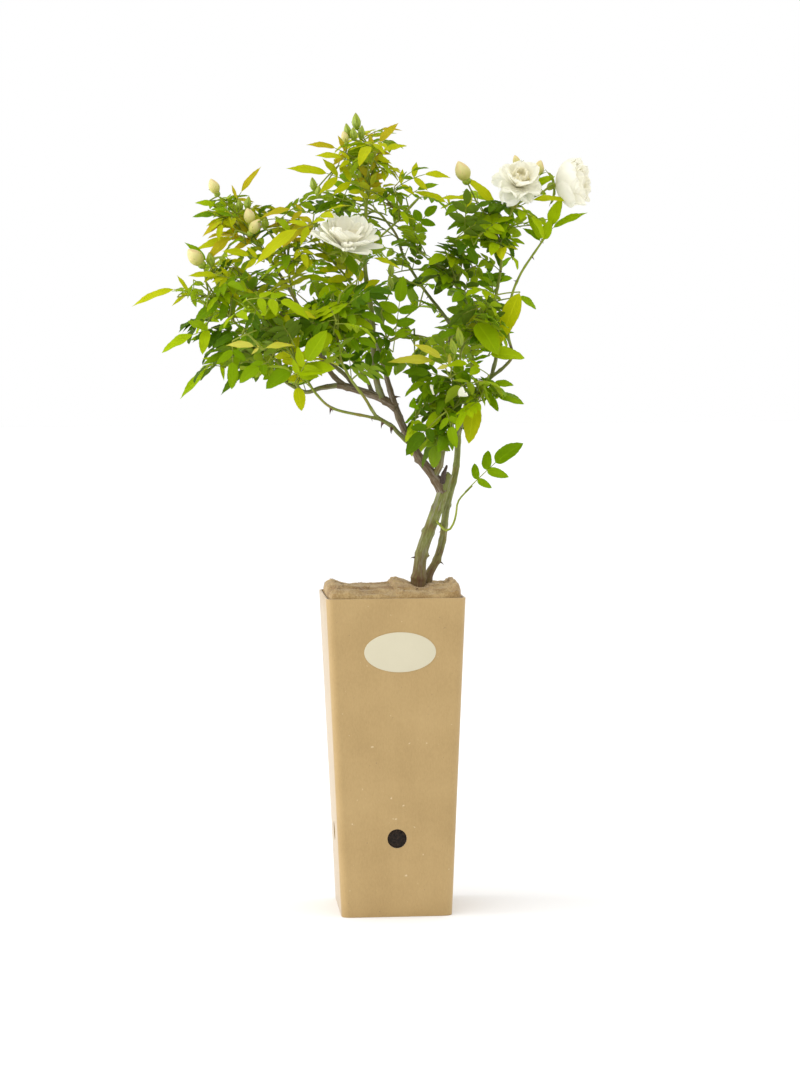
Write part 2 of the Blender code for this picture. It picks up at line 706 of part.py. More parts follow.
def compound_leaf(start, end, towards, chance, pairs):
    """One leaf as one closed body: a three-sided stalk with leaflets grown out of its sides."""
    span = (end - start).length
    shares = [0.0]
    for share in PAIRS_AT[-pairs:]:
        shares += [share, share + PAIR_ROOT]
    shares.append(STALK_END)
    points = []
    frames = []
    for share in shares:
        centre = bow_point(start, end, share)
        heading = (bow_point(start, end, share + HEADING_STEP) - centre).normalized()
        side = heading.cross(towards).normalized()
        face = side.cross(heading)
        frames.append((heading, side, face))
        radius = STALK_RADIUS * (1 - STALK_TAPER * share) if share else ROOT_RADIUS
        upper = centre + face * 0.5 * radius
        points += [upper - side * radius, upper + side * radius, centre - face * radius]
    faces = [(0, 2, 1)]
    for k in range(len(shares) - 1):
        left, right, under = 3 * k, 3 * k + 1, 3 * k + 2
        faces.append((left, right, right + 3, left + 3))
        if k % 2 == 0:
            faces += [(right, under, under + 3, right + 3), (under, left, left + 3, under + 3)]
            continue
        heading, side, face = frames[k]
        for turn, edge in ((1, right), (-1, left)):
            angle = PAIR_ANGLE + chance.uniform(-PAIR_STRAY, PAIR_STRAY)
            out = heading * math.cos(angle) + side * turn * math.sin(angle) - UP * PAIR_DROOP
            root = (edge, edge + 3, under + 3, under)
            length = SIDE_SHARE * span * chance.uniform(*SIDE_SPREAD)
            leaflet(points, faces, root, out, heading, face, length)
    side, face = frames[-1][1:]
    left = 3 * (len(shares) - 1)
    out = end - bow_point(start, end, STALK_END)
    leaflet(points, faces, (left, left + 1, left + 2, left + 2), out, side, face, out.length)
    return points, faces


def turned(foot, tip, radius, rings, sides, tip_point=True):
    """A closed turned body between two points, its rings as shares of length and radius."""
    axis = tip - foot
    across = axis.orthogonal().normalized() * radius
    points = []
    for along, wide in rings:
        for k in range(sides):
            spoke = across.copy()
            spoke.rotate(Matrix.Rotation(2 * math.pi * k / sides, 3, axis))
            points.append(foot + axis * along + spoke * wide)
    faces = [tuple(reversed(range(sides)))]
    for level in range(len(rings) - 1):
        for k in range(sides):
            after = (k + 1) % sides
            low = level * sides
            faces.append((low + k, low + after, low + sides + after, low + sides + k))
    last = (len(rings) - 1) * sides
    if tip_point:
        points.append(tip)
        faces += [(last + k, last + (k + 1) % sides, len(points) - 1) for k in range(sides)]
    else:
        faces.append(tuple(last + k for k in range(sides)))
    return points, faces


def mass_stem(name):
    """The line of the mass's own stem, from GAP beyond its bough into its middle."""
    mass = MASSES[name]
    line = limb_line(mass["bough"])
    radii = limb_radii(mass["bough"], line)
    middle = Vector(mass["middle"])
    if "side" in mass:
        k = round(mass["side"] * (len(line) - 1))
        heading = Vector(mass["heading"]).normalized()
        along = heading_at(line, k)
        heading = (heading - along * heading.dot(along)).normalized()
        start = line[k] + heading * (radii[k] + GAP)
    else:
        heading = heading_at(line, len(line) - 1)
        start = line[-1] + heading * GAP
    if "stem" in mass:
        return smooth_line([start] + mass["stem"], LIMB_STEP)
    end = middle + (middle - start) * STEM_REACH + UP * STEM_RISE * mass["reach"][2]
    control = start + heading * BOW_PEAK * (middle - start).length
    stem = []
    for k in range(STEM_STEPS + 1):
        t = k / STEM_STEPS
        stem.append(start * (1 - t) ** 2 + control * 2 * t * (1 - t) + end * t * t)
    return stem


def obstacle(points, faces):
    """A tree of a body's faces that later bodies are tested against."""
    return BVHTree.FromPolygons([tuple(p) for p in points], faces)


def grown_limb(name):
    """The limb as an obstacle that leaves keep LIMB_MARGIN clear of."""
    line = limb_line(name)
    radii = [r + LIMB_MARGIN for r in limb_radii(name, line)]
    return obstacle(*tube(line, radii, LIMBS[name]["sides"]))


def grown_stem(name):
    """The mass's stem as an obstacle for the other masses."""
    line = mass_stem(name)
    return obstacle(*tube(line, [STEM_RADIUS + LIMB_MARGIN] * len(line), STEM_SIDES))


def touches(tree, obstacles):
    """Whether the tree of faces meets any of the obstacles."""
    return any(tree.overlap(other) for other in obstacles)


def crosses_itself(part):
    """Whether two faces of the body that share no point meet."""
    points, faces = part
    tree = obstacle(points, faces)
    return any(not set(faces[a]) & set(faces[b]) for a, b in tree.overlap(tree))


def outer_tree(leaf):
    """A tree of the leaf's faces without the foot of its stalk."""
    points, faces = leaf
    return obstacle(points, [face for face in faces if min(face) >= 3])


class Growth:
    """What one mass has grown so far: its bodies, and the nodes on them that can bear more."""

    def __init__(self, name, obstacles):
        self.mass = MASSES[name]
        self.planes = cell_planes(name)
        self.obstacles = obstacles
        self.parts = []
        self.twigs = []
        self.others = []
        self.nodes = []
        self.used = []

    def point_towards(self, out, share):
        """The point at a share of the mass's reach in a direction from its middle."""
        return Vector(self.mass["middle"][j] + out[j] * self.mass["reach"][j] * share for j in range(3))

    def add_twig(self, line, radii):
        """A three-sided twig with a node at each of its points and halfway between them."""
        part = tube(line, radii, 3)
        self.parts.append(part)
        self.twigs.append(obstacle(*part))
        for before, after in zip(line, line[1:]):
            self.nodes += [(0.5 * (before + after), len(self.twigs) - 1), (after, len(self.twigs) - 1)]

    def add_other(self, part):
        """A bloom, a bud or their stalk."""
        self.parts.append(part)
        self.others.append(obstacle(*part))

    def closest(self, point):
        """The place of the node that lies closest to the point."""
        return min((place for place, twig in self.nodes), key=lambda place: (place - point).length)

    def nearest(self, point, length):
        """The nodes in order of how well a leaf of this length would reach the point."""
        def miss(node):
            borne = sum(1 for used in self.used if used is node[0])
            return abs((point - node[0]).length - length) + NODE_CROWDING * borne
        return sorted(self.nodes, key=miss)

    def add_leaf(self, node, tip, towards, chance, pairs, stretch):
        """Grow one leaf if it keeps to the mass's space and meets nothing but its own twig."""
        place, own = node
        leaf = compound_leaf(place, tip, towards, chance, pairs)
        if crosses_itself(leaf) or not in_space(leaf[0], self.mass, self.planes, stretch):
            return False
        whole = obstacle(*leaf)
        twigs = [twig for k, twig in enumerate(self.twigs) if k != own]
        if touches(outer_tree(leaf), self.obstacles + [self.twigs[own]]):
            return False
        if touches(whole, twigs + self.others):
            return False
        self.parts.append(leaf)
        self.others.append(whole)
        self.used.append(place)
        return True


def grow_twigs(growth, stem, chance):
    """Twigs that leave the stem to both sides, each skipped where it would leave the space."""
    mass = growth.mass
    for k in range(mass["twigs"]):
        out = sphere_direction(k, mass["twigs"])
        out.rotate(Matrix.Rotation(chance.uniform(0, 2 * math.pi), 3, "Z"))
        out.z = TWIG_FLATNESS * out.z + TWIG_RISE
        end = growth.point_towards(out, TWIG_REACH)
        line = bow(stem[2 + k], end, TWIG_BOW, TWIG_STEPS)
        made = tube(line, [TWIG_RADIUS] * len(line), 3)
        if in_space(made[0][3:], mass, growth.planes) and not touches(obstacle(*made), growth.obstacles):
            growth.add_twig(line, [ROOT_RADIUS] + [TWIG_RADIUS] * TWIG_STEPS)


def grow_flowers(growth):
    """The blooms and buds, each on a stalk from the closest node."""
    for foot, centre, radius in growth.mass.get("blooms", ()):
        foot, centre = Vector(foot), Vector(centre)
        stalk = bow(growth.closest(foot), foot + (centre - foot) * BLOOM_SINK, STALK_BOW, 2)
        growth.add_other(tube(stalk, [ROOT_RADIUS, BLOOM_STALK_RADIUS, BLOOM_STALK_RADIUS], 3))
        growth.add_other(turned(foot, centre, radius, BLOOM_RINGS, BLOOM_SIDES, tip_point=False))
    for foot, tip, radius in growth.mass.get("buds", ()):
        foot, tip = Vector(foot), Vector(tip)
        stalk = bow(growth.closest(foot), foot + (tip - foot) * BUD_SINK, STALK_BOW, 2)
        growth.add_other(tube(stalk, [ROOT_RADIUS, STALK_RADIUS, STALK_RADIUS], 3))
        growth.add_other(turned(foot, tip, radius, BUD_RINGS, BUD_SIDES))


def grow_outline_leaves(growth, chance):
    """One leaf to each tip of the crown's outline."""
    mass = growth.mass
    for tip in mass.get("tips", ()):
        tip = Vector(tip)
        for node in growth.nearest(tip, LEAF_LENGTH):
            towards = Vector(mass["face"]) if "face" in mass else leaf_face(node[0], tip, chance)
            if growth.add_leaf(node, tip, towards, chance, 2, FREE_REACH):
                break


def grow_leaves(growth, chance):
    """Leaves spread evenly over the mass's reach, each tried again with more stray."""
    wanted = growth.mass["leaves"]
    grown = 0
    for k in range(wanted * LEAF_TRIES):
        if grown == wanted:
            break
        stray = LEAF_STRAY * (FIRST_STRAY + k / wanted / LEAF_TRIES)
        out = (sphere_direction(k % wanted, wanted) + any_direction(chance) * stray).normalized()
        end = growth.point_towards(out, chance.uniform(*END_SPREAD)) - UP * LEAF_SAG
        length = LEAF_LENGTH * chance.uniform(*LEAF_SPREAD)
        pairs = 1 if grown % 3 == 2 else 2
        for node in growth.nearest(end, length)[:NODES_TRIED]:
            span = (end - node[0]).length
            if span < SHORTEST_LEAF * LEAF_LENGTH:
                continue
            tip = node[0] + (end - node[0]) * min(1.0, LONGEST_LEAF * LEAF_LENGTH / span)
            towards = leaf_face(node[0], tip, chance)
            if growth.add_leaf(node, tip, towards, chance, pairs, REACH_STRETCH):
                grown += 1
                break


def grow_mass(name, obstacles):
    """All the bodies of one mass: stem, twigs, blooms, buds and leaves, each rooted in another."""
    chance = random.Random(name)
    growth = Growth(name, obstacles)
    stem = mass_stem(name)
    growth.add_twig(stem, [STEM_RADIUS] * len(stem))
    grow_twigs(growth, stem, chance)
    grow_flowers(growth)
    grow_outline_leaves(growth, chance)
    grow_leaves(growth, chance)
    return growth.parts


def build_mass(name, obstacles):
    """One mass of foliage joined from its stem, twigs and leaves."""
    parts = grow_mass(name, obstacles)
    trunk = place(name, body(*parts[0]), leaf_green())
    grown = bpy.data.collections.new(name)
    for points, faces in parts[1:]:
        grown.objects.link(bpy.data.objects.new("part", body(points, faces)))
    bpy.context.scene.collection.children.link(grown)
    join = trunk.modifiers.new("join", "BOOLEAN")
    join.operation = "UNION"
    join.operand_type = "COLLECTION"
    join.collection = grown
    for solver in ("EXACT", "MANIFOLD"):
        join.solver = solver
        result = evaluated_mesh(trunk)
        if is_closed(result):
            break
    trunk.modifiers.clear()
    trunk.data = result
    drop(*list(grown.objects))
    bpy.data.collections.remove(grown)
    keep_largest(trunk)
    trunk.data.materials.clear()
    trunk.data.materials.append(leaf_green())
    return trunk


def main():
    drop(*list(bpy.data.objects))
    build_pot()
    build_root_ball()
    build_paper(("trunk", "second_stem"))
    build_label()
    names = list(LIMBS)
    for k, name in enumerate(names):
        build_limb(name, names[:k])
    limbs = [grown_limb(name) for name in LIMBS]
    stems = {name: grown_stem(name) for name in MASSES}
    for name in MASSES:
        others = [stem for other, stem in stems.items() if other != name]
        build_mass(name, limbs + others)


main()
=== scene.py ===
"""The looks of a young double white rose in a tall square kraft pot, round its frame.

Sizes are in millimetres and are turned into metres by MM. +Z is up, the viewer
stands at -Y, and the origin is the middle of the pot's flat underside.
"""
import json
import math
import random

import bmesh
import bpy
import numpy as np
from mathutils import Euler, Matrix, Vector, noise
from mathutils.bvhtree import BVHTree

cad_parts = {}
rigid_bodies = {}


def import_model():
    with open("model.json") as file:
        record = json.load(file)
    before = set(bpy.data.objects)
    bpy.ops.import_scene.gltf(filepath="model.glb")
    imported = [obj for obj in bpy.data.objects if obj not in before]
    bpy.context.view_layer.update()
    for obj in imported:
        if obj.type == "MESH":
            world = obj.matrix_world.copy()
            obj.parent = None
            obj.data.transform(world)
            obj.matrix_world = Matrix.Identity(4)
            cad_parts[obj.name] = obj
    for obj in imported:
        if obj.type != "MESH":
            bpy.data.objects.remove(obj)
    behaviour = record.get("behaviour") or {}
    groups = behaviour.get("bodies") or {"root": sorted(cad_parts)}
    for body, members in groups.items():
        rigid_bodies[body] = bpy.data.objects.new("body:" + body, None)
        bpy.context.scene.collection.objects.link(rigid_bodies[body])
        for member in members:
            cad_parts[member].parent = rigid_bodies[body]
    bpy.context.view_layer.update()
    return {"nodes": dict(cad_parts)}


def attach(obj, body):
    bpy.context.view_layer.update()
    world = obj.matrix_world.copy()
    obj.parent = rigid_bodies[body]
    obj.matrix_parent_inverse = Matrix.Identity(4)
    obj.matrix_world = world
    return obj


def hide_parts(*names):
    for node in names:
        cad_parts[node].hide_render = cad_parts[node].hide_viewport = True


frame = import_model()

MM = 0.001
UP = Vector((0.0, 0.0, 1.0))
BODY = "root"

# Camera: where it stands, how it is turned and its focal length, for a frame of 800 by 1067
PICTURE_WIDTH = 800
PICTURE_HEIGHT = 1067
EYE = Vector((-164.38, -2111.70, 406.19))
EYE_YAW = 0.08106
EYE_PITCH = 0.05694
EYE_ROLL = -0.00630
FOCAL = 2796.56
SENSOR = 36.0
CLIP_NEAR = 0.05
CLIP_FAR = 50.0

# Pot
POT_HEIGHT = 240.0
POT_TOP_WIDTH = 104.3
POT_FOOT_WIDTH = 83.6
POT_CORNER = 6.5
POT_WALL = 1.7
POT_FLOOR = 2.4
POT_EDGE = 0.45
POT_RINGS = 16
POT_SHARP = 35
CORNER_STEPS = 12
HOLE_DIAMETER = 14.5
HOLE_HEIGHT = 59.4
HOLE_SIDES = 56
GAP = 0.3

# Paper packed over the root ball
PAPER_FOOT = 233.3
PAPER_EDGE = 241.5
PAPER_CREST = ((-53, 243.0), (-49, 246.8), (-44, 249.8), (-38, 247.8), (-31, 246.8), (-17, 246.0),
               (-5, 246.2), (0.2, 246.5), (1.2, 250.0), (5.5, 250.6), (8, 249.6), (12, 248.8), (17, 246.2),
               (23, 244.4), (29, 247.2), (38, 247.4), (43.4, 248.2), (44.4, 250.8), (47.4, 250.9),
               (48.6, 249.2), (50.4, 248.8), (52, 247.0), (54, 242.8))
PAPER_PITCHES = (0.07, 0.16, 0.36, 0.85)
PAPER_CELLS = 128
PAPER_TUCK = 1.8
PAPER_TUCK_DEPTH = 3.5

# Label
LABEL_WIDTH = 53.5
LABEL_HEIGHT = 30.0
LABEL_THICKNESS = 0.45
LABEL_ACROSS = 2.6
LABEL_LEVEL = 200.0
LABEL_CLEAR = 0.05
LABEL_SIDES = 96

# Limbs: the bends of each centre line, its radius at foot and tip, its sides, how barky it is at
# foot and tip, and the limb that bears it (parent) or that it carries on (follows)
LIMB_STEP = 16.0
LIMB_OVERLAP = 2.0
LIMB_SHARP = 60
BARK_STEP = 1.5
BARK_SWELL = 1.07
SLIM_FROM = 0.66
SLIM_RISE = 0.18
FLARE = 1.6
FLARE_LENGTH = 32.0
FLARE_CURVE = 1.5
LIMBS = {
    "trunk": dict(
        bends=[(19, 0, 233.3), (21, 0, 250), (23, 0, 268), (28, 0, 284), (33, 0, 297),
               (38, -1, 311), (41, -1, 322), (43.5, -1, 330)],
        foot=4.5, tip=4.0, sides=30, age=(0.60, 0.46), flare=True),
    "second_stem": dict(
        bends=[(28, 10, 233.3), (29, 10, 251), (36, 12, 264), (41, 14, 280), (44, 15, 303),
               (51, 14, 331), (53, 13, 354), (53, 12, 372)],
        foot=2.9, tip=2.1, sides=20, age=(0.48, 0.30), flare=True),
    "arch_lower": dict(
        bends=[(53, 12, 373), (52, 14, 398), (52, 15, 417), (48, 16, 428), (49, 18, 440)],
        foot=2.0, tip=1.55, sides=14, age=(0.4, 0.3), follows="second_stem"),
    "arch_upper": dict(
        bends=[(49, 18, 441), (45, 20, 449), (28, 25, 472), (14, 26, 495), (8, 26, 512), (-2, 28, 526)],
        foot=1.5, tip=1.0, sides=14, age=(0.4, 0.3), follows="arch_lower"),
    "main_bough": dict(
        bends=[(40, -1, 317), (32, -3, 330), (21, -6, 344), (13, -8, 359), (7, -8, 372), (2, -8, 387),
               (-3, -8, 404)],
        foot=3.9, tip=1.9, sides=26, age=(0.95, 0.85), parent="trunk"),
    "middle_rise": dict(
        bends=[(-3, -8, 405), (-10, -13, 428), (-20, -17, 452), (-27, -19, 468)],
        foot=1.8, tip=1.1, sides=12, age=(0.7, 0.1), follows="main_bough"),
    "left_bough": dict(
        bends=[(4, -8, 381), (-5, -5, 387), (-14, 0, 391), (-23, 4, 394), (-33, 7, 397), (-39, 8, 398)],
        foot=2.9, tip=2.4, sides=20, age=(1.0, 1.0), parent="main_bough"),
    "left_arm": dict(
        bends=[(-39, 8, 398), (-52, 7, 396), (-63, 6, 393), (-74, 5, 398), (-84, 5, 405)],
        foot=2.1, tip=1.2, sides=14, age=(0.7, 0.25), follows="left_bough"),
    "left_reach": dict(
        bends=[(-66, 6, 393), (-78, -8, 408), (-96, -12, 427), (-112, -11, 441)],
        foot=1.3, tip=1.0, sides=12, age=(0.3, 0.05), parent="left_arm"),
    "left_rise": dict(
        bends=[(-33, 7, 397), (-44, 13, 408), (-57, 18, 432), (-69, 17, 461), (-86, 13, 489)],
        foot=2.0, tip=1.2, sides=14, age=(0.95, 0.3), parent="left_bough"),
    "left_spur": dict(
        bends=[(-67, 17, 456), (-72, 8, 466), (-75, -1, 479)],
        foot=1.1, tip=0.9, sides=10, age=(0.3, 0.0), parent="left_rise"),
    "back_left_bough": dict(
        bends=[(-24, 4, 394), (-34, 16, 407), (-55, 36, 424), (-78, 50, 440)],
        foot=1.8, tip=1.1, sides=12, age=(0.8, 0.1), parent="left_bough"),
    "back_bough": dict(
        bends=[(-13, 0, 391), (-16, 18, 402), (-24, 38, 415), (-33, 50, 427)],
        foot=1.7, tip=1.1, sides=12, age=(0.8, 0.1), parent="left_bough"),
    "leader": dict(
        bends=[(-6, -5, 388), (-10, -1, 402), (-12, 2, 428), (-13, 2, 452), (-18, 0, 487), (-17, 0, 530)],
        foot=2.3, tip=1.4, sides=16, age=(0.5, 0.1), parent="left_bough"),
    "leader_side": dict(
        bends=[(-17.7, 0, 497), (-8, -4, 508), (2, -7, 517)],
        foot=1.1, tip=0.9, sides=10, age=(0.1, 0.0), parent="leader"),
    "front_lateral": dict(
        bends=[(18, -7, 350), (5, -18, 362), (0, -24, 367), (-10, -32, 373), (-13, -35, 375)],
        foot=1.9, tip=1.5, sides=14, age=(0.5, 0.35), parent="main_bough"),
    "front_rise": dict(
        bends=[(-13, -35, 375), (-17, -38, 381), (-22, -42, 389), (-32, -48, 402), (-38, -53, 412)],
        foot=1.4, tip=1.0, sides=12, age=(0.35, 0.1), follows="front_lateral"),
    "front_arm": dict(
        bends=[(-9, -31, 372.5), (-20, -38, 375), (-45, -42, 381), (-58, -46, 392), (-68, -50, 407)],
        foot=1.3, tip=1.0, sides=12, age=(0.35, 0.1), parent="front_lateral"),
    "right_bough": dict(
        bends=[(33, -3, 329), (37, -7, 337), (40, -11, 351), (49, -15, 361), (54, -18, 371),
               (61, -20, 382), (66, -22, 391), (76, -20, 406)],
        foot=2.4, tip=1.7, sides=16, age=(0.6, 0.4), parent="main_bough"),
    "right_rise": dict(
        bends=[(76, -20, 407), (79, -18, 421), (75, -14, 443), (79, -10, 460), (84, -6, 483), (85, -5, 496)],
        foot=1.6, tip=1.1, sides=14, age=(0.4, 0.15), follows="right_bough"),
    "right_outer": dict(
        bends=[(73.5, -20.5, 402.5), (84, -26, 411), (90, -28, 420), (87, -28, 436), (89, -26, 460),
               (97, -22, 480), (110, -18, 499), (119, -14, 511)],
        foot=1.4, tip=0.9, sides=12, age=(0.4, 0.0), parent="right_bough"),
    "yellow_shoot": dict(
        bends=[(57, -19, 376), (57, -9, 390), (55, -3, 406), (54, 0, 421), (60, 0, 436), (61, 1, 448)],
        foot=1.3, tip=1.0, sides=12, age=(0.3, 0.1), parent="right_bough"),
    "back_right_bough": dict(
        bends=[(52.5, 13, 350), (57, 26, 368), (64, 42, 392), (67, 50, 406)],
        foot=1.7, tip=1.1, sides=12, age=(0.4, 0.1), parent="second_stem"),
}

# Between these heights the bark's red foot fades
FOOT_LOW = 0.246
FOOT_HIGH = 0.292

# Relief of the bark
RIDGE_DEPTH = 0.04
RIDGE_PITCH = 2.1
RIDGE_STRETCH = 0.05
LUMP_DEPTH = 0.035
LUMP_PITCH = 0.16
NODE_SPACING = 17.0
NODE_WIDTH = 1.9
NODE_RISE = 0.13
EYE_RISE = 0.3
EYE_WIDTH = 1.5
COLLAR_RISE = 0.22
COLLAR_LENGTH = 3.2
GRAIN_AROUND = 0.9
GRAIN_ALONG = 0.11
DOME = 0.5

# The pruning cut's rings as shares of the trunk's tip and their rise, and the dead stub's line
CUT_SLANT = (0.55, -0.25, 0.0)
CUT_RINGS = ((0.9, -2.2), (1.0, -0.4), (0.93, 0.55), (0.5, 0.75))
CUT_SIDES = 28
STUB_BENDS = ((39, -4, 324), (40, -5.5, 330), (41.5, -6.5, 334), (42.5, -7, 337))
STUB_RADIUS = 2.7
STUB_WASTING = 1.9

# Masses of foliage: the middle and the reach of each, the bough that feeds it (at its tip, or on
# its side at a share of its length, heading out as given), its leaves, how long its leaflets are,
# how wide against their length, and its colours by chance. One without leaves of its own bears
# blooms or leaves that stand out by themselves.
MASSES = {
    "foliage_top": dict(
        middle=(-15, 0, 562), reach=(34, 38, 37), bough="leader", leaves=12, leaflet=25, wide=0.33,
        tints=dict(lime=5, bronze=1, fresh=4)),
    "foliage_top_right": dict(
        middle=(18, -8, 530), reach=(34, 36, 31), bough="leader_side", leaves=12, leaflet=17, wide=0.36,
        tints=dict(fresh=5, lime=2, mid=4)),
    "foliage_inner_top": dict(
        middle=(-40, -30, 500), reach=(42, 38, 36), bough="middle_rise", leaves=14, leaflet=22, wide=0.36,
        stem=[(-32, -12, 478), (-44, -2, 493), (-55, 2, 510)],
        tints=dict(fresh=4, bronze=2, lime=3, mid=2)),
    "foliage_back_top": dict(
        middle=(-14, 56, 518), reach=(44, 40, 42), bough="arch_upper", leaves=14, leaflet=19, wide=0.38,
        tints=dict(mid=5, fresh=4, deep=2)),
    "foliage_upper_left": dict(
        middle=(-124, 6, 521), reach=(36, 42, 37), bough="left_rise", leaves=12, leaflet=22, wide=0.33,
        tints=dict(lime=4, fresh=4, bronze=2, mid=2)),
    "foliage_mid_left": dict(
        middle=(-76, -12, 502), reach=(36, 40, 38), bough="left_spur", leaves=16, leaflet=22, wide=0.35,
        tints=dict(lime=4, bronze=2, fresh=4, mid=2, deep=1)),
    "foliage_left": dict(
        middle=(-132, -12, 464), reach=(34, 42, 36), bough="left_reach", leaves=15, leaflet=20, wide=0.34,
        tints=dict(fresh=5, lime=2, mid=4, deep=2)),
    "foliage_left_low": dict(
        middle=(-110, 12, 422), reach=(50, 48, 32), bough="left_arm", leaves=16, leaflet=20, wide=0.40,
        tints=dict(mid=5, deep=4, fresh=3)),
    "foliage_front_left": dict(
        middle=(-88, -56, 440), reach=(42, 40, 44), bough="front_arm", leaves=16, leaflet=20, wide=0.38,
        tints=dict(fresh=5, mid=4, deep=3, lime=1)),
    "foliage_front": dict(
        middle=(-40, -58, 447), reach=(38, 40, 46), bough="front_rise", leaves=16, leaflet=18, wide=0.40,
        tints=dict(mid=5, deep=4, fresh=4)),
    "foliage_back": dict(
        middle=(-42, 64, 450), reach=(44, 42, 46), bough="back_bough", leaves=15, leaflet=19, wide=0.38,
        tints=dict(mid=5, deep=4, fresh=4)),
    "foliage_back_left": dict(
        middle=(-106, 62, 472), reach=(46, 42, 46), bough="back_left_bough", leaves=15, leaflet=20, wide=0.36,
        tints=dict(fresh=5, mid=4, lime=2, deep=1)),
    "foliage_centre": dict(
        middle=(10, -20, 432), reach=(30, 34, 44), bough="leader", side=0.3, heading=(1.0, -0.5, 0.3),
        leaves=14, leaflet=15, wide=0.46, tints=dict(deep=4, mid=6, fresh=2)),
    "foliage_right_middle": dict(
        middle=(32, 6, 482), reach=(40, 38, 44), bough="yellow_shoot", leaves=18, leaflet=16, wide=0.46,
        tints=dict(mid=6, deep=3, fresh=4)),
    "foliage_right": dict(
        middle=(68, -42, 442), reach=(36, 36, 42), bough="right_rise", side=0.36, heading=(-0.1, -1.0, 0.3),
        leaves=15, leaflet=18, wide=0.40, tints=dict(fresh=5, mid=4, lime=2, deep=1)),
    "foliage_back_right": dict(
        middle=(68, 58, 442), reach=(42, 42, 46), bough="back_right_bough", leaves=14, leaflet=18, wide=0.40,
        tints=dict(mid=5, fresh=4, deep=2)),
    "foliage_upper_right": dict(
        middle=(76, -8, 512), reach=(38, 42, 46), bough="right_rise", leaves=18, leaflet=18, wide=0.43,
        tints=dict(fresh=5, mid=5, lime=2, deep=2)),
    "foliage_far_right": dict(
        middle=(138, -12, 534), reach=(24, 28, 34), bough="right_outer",
        stem=[(121, -15, 515), (123.5, -16, 520)]),
    "foliage_low_right": dict(
        middle=(68, -42, 396), reach=(36, 32, 32), bough="right_bough", side=0.66, heading=(0.1, -1.0, 0.2),
        leaves=13, leaflet=18, wide=0.44, tints=dict(fresh=5, mid=4, lime=1)),
    "foliage_fork": dict(
        middle=(34, -28, 382), reach=(30, 32, 42), bough="right_bough", side=0.38, heading=(-0.4, -1.0, 0.4),
        leaves=13, leaflet=17, wide=0.44, tints=dict(mid=6, deep=3, fresh=4)),
    "low_sprig": dict(
        middle=(64, -24, 322), reach=(40, 26, 40), bough="trunk", side=0.55, heading=(0.7, -0.7, 0.1),
        stem=[(41, -14, 288), (46, -17, 293), (48, -20, 301), (50, -20, 311), (60, -22, 322)]),
}

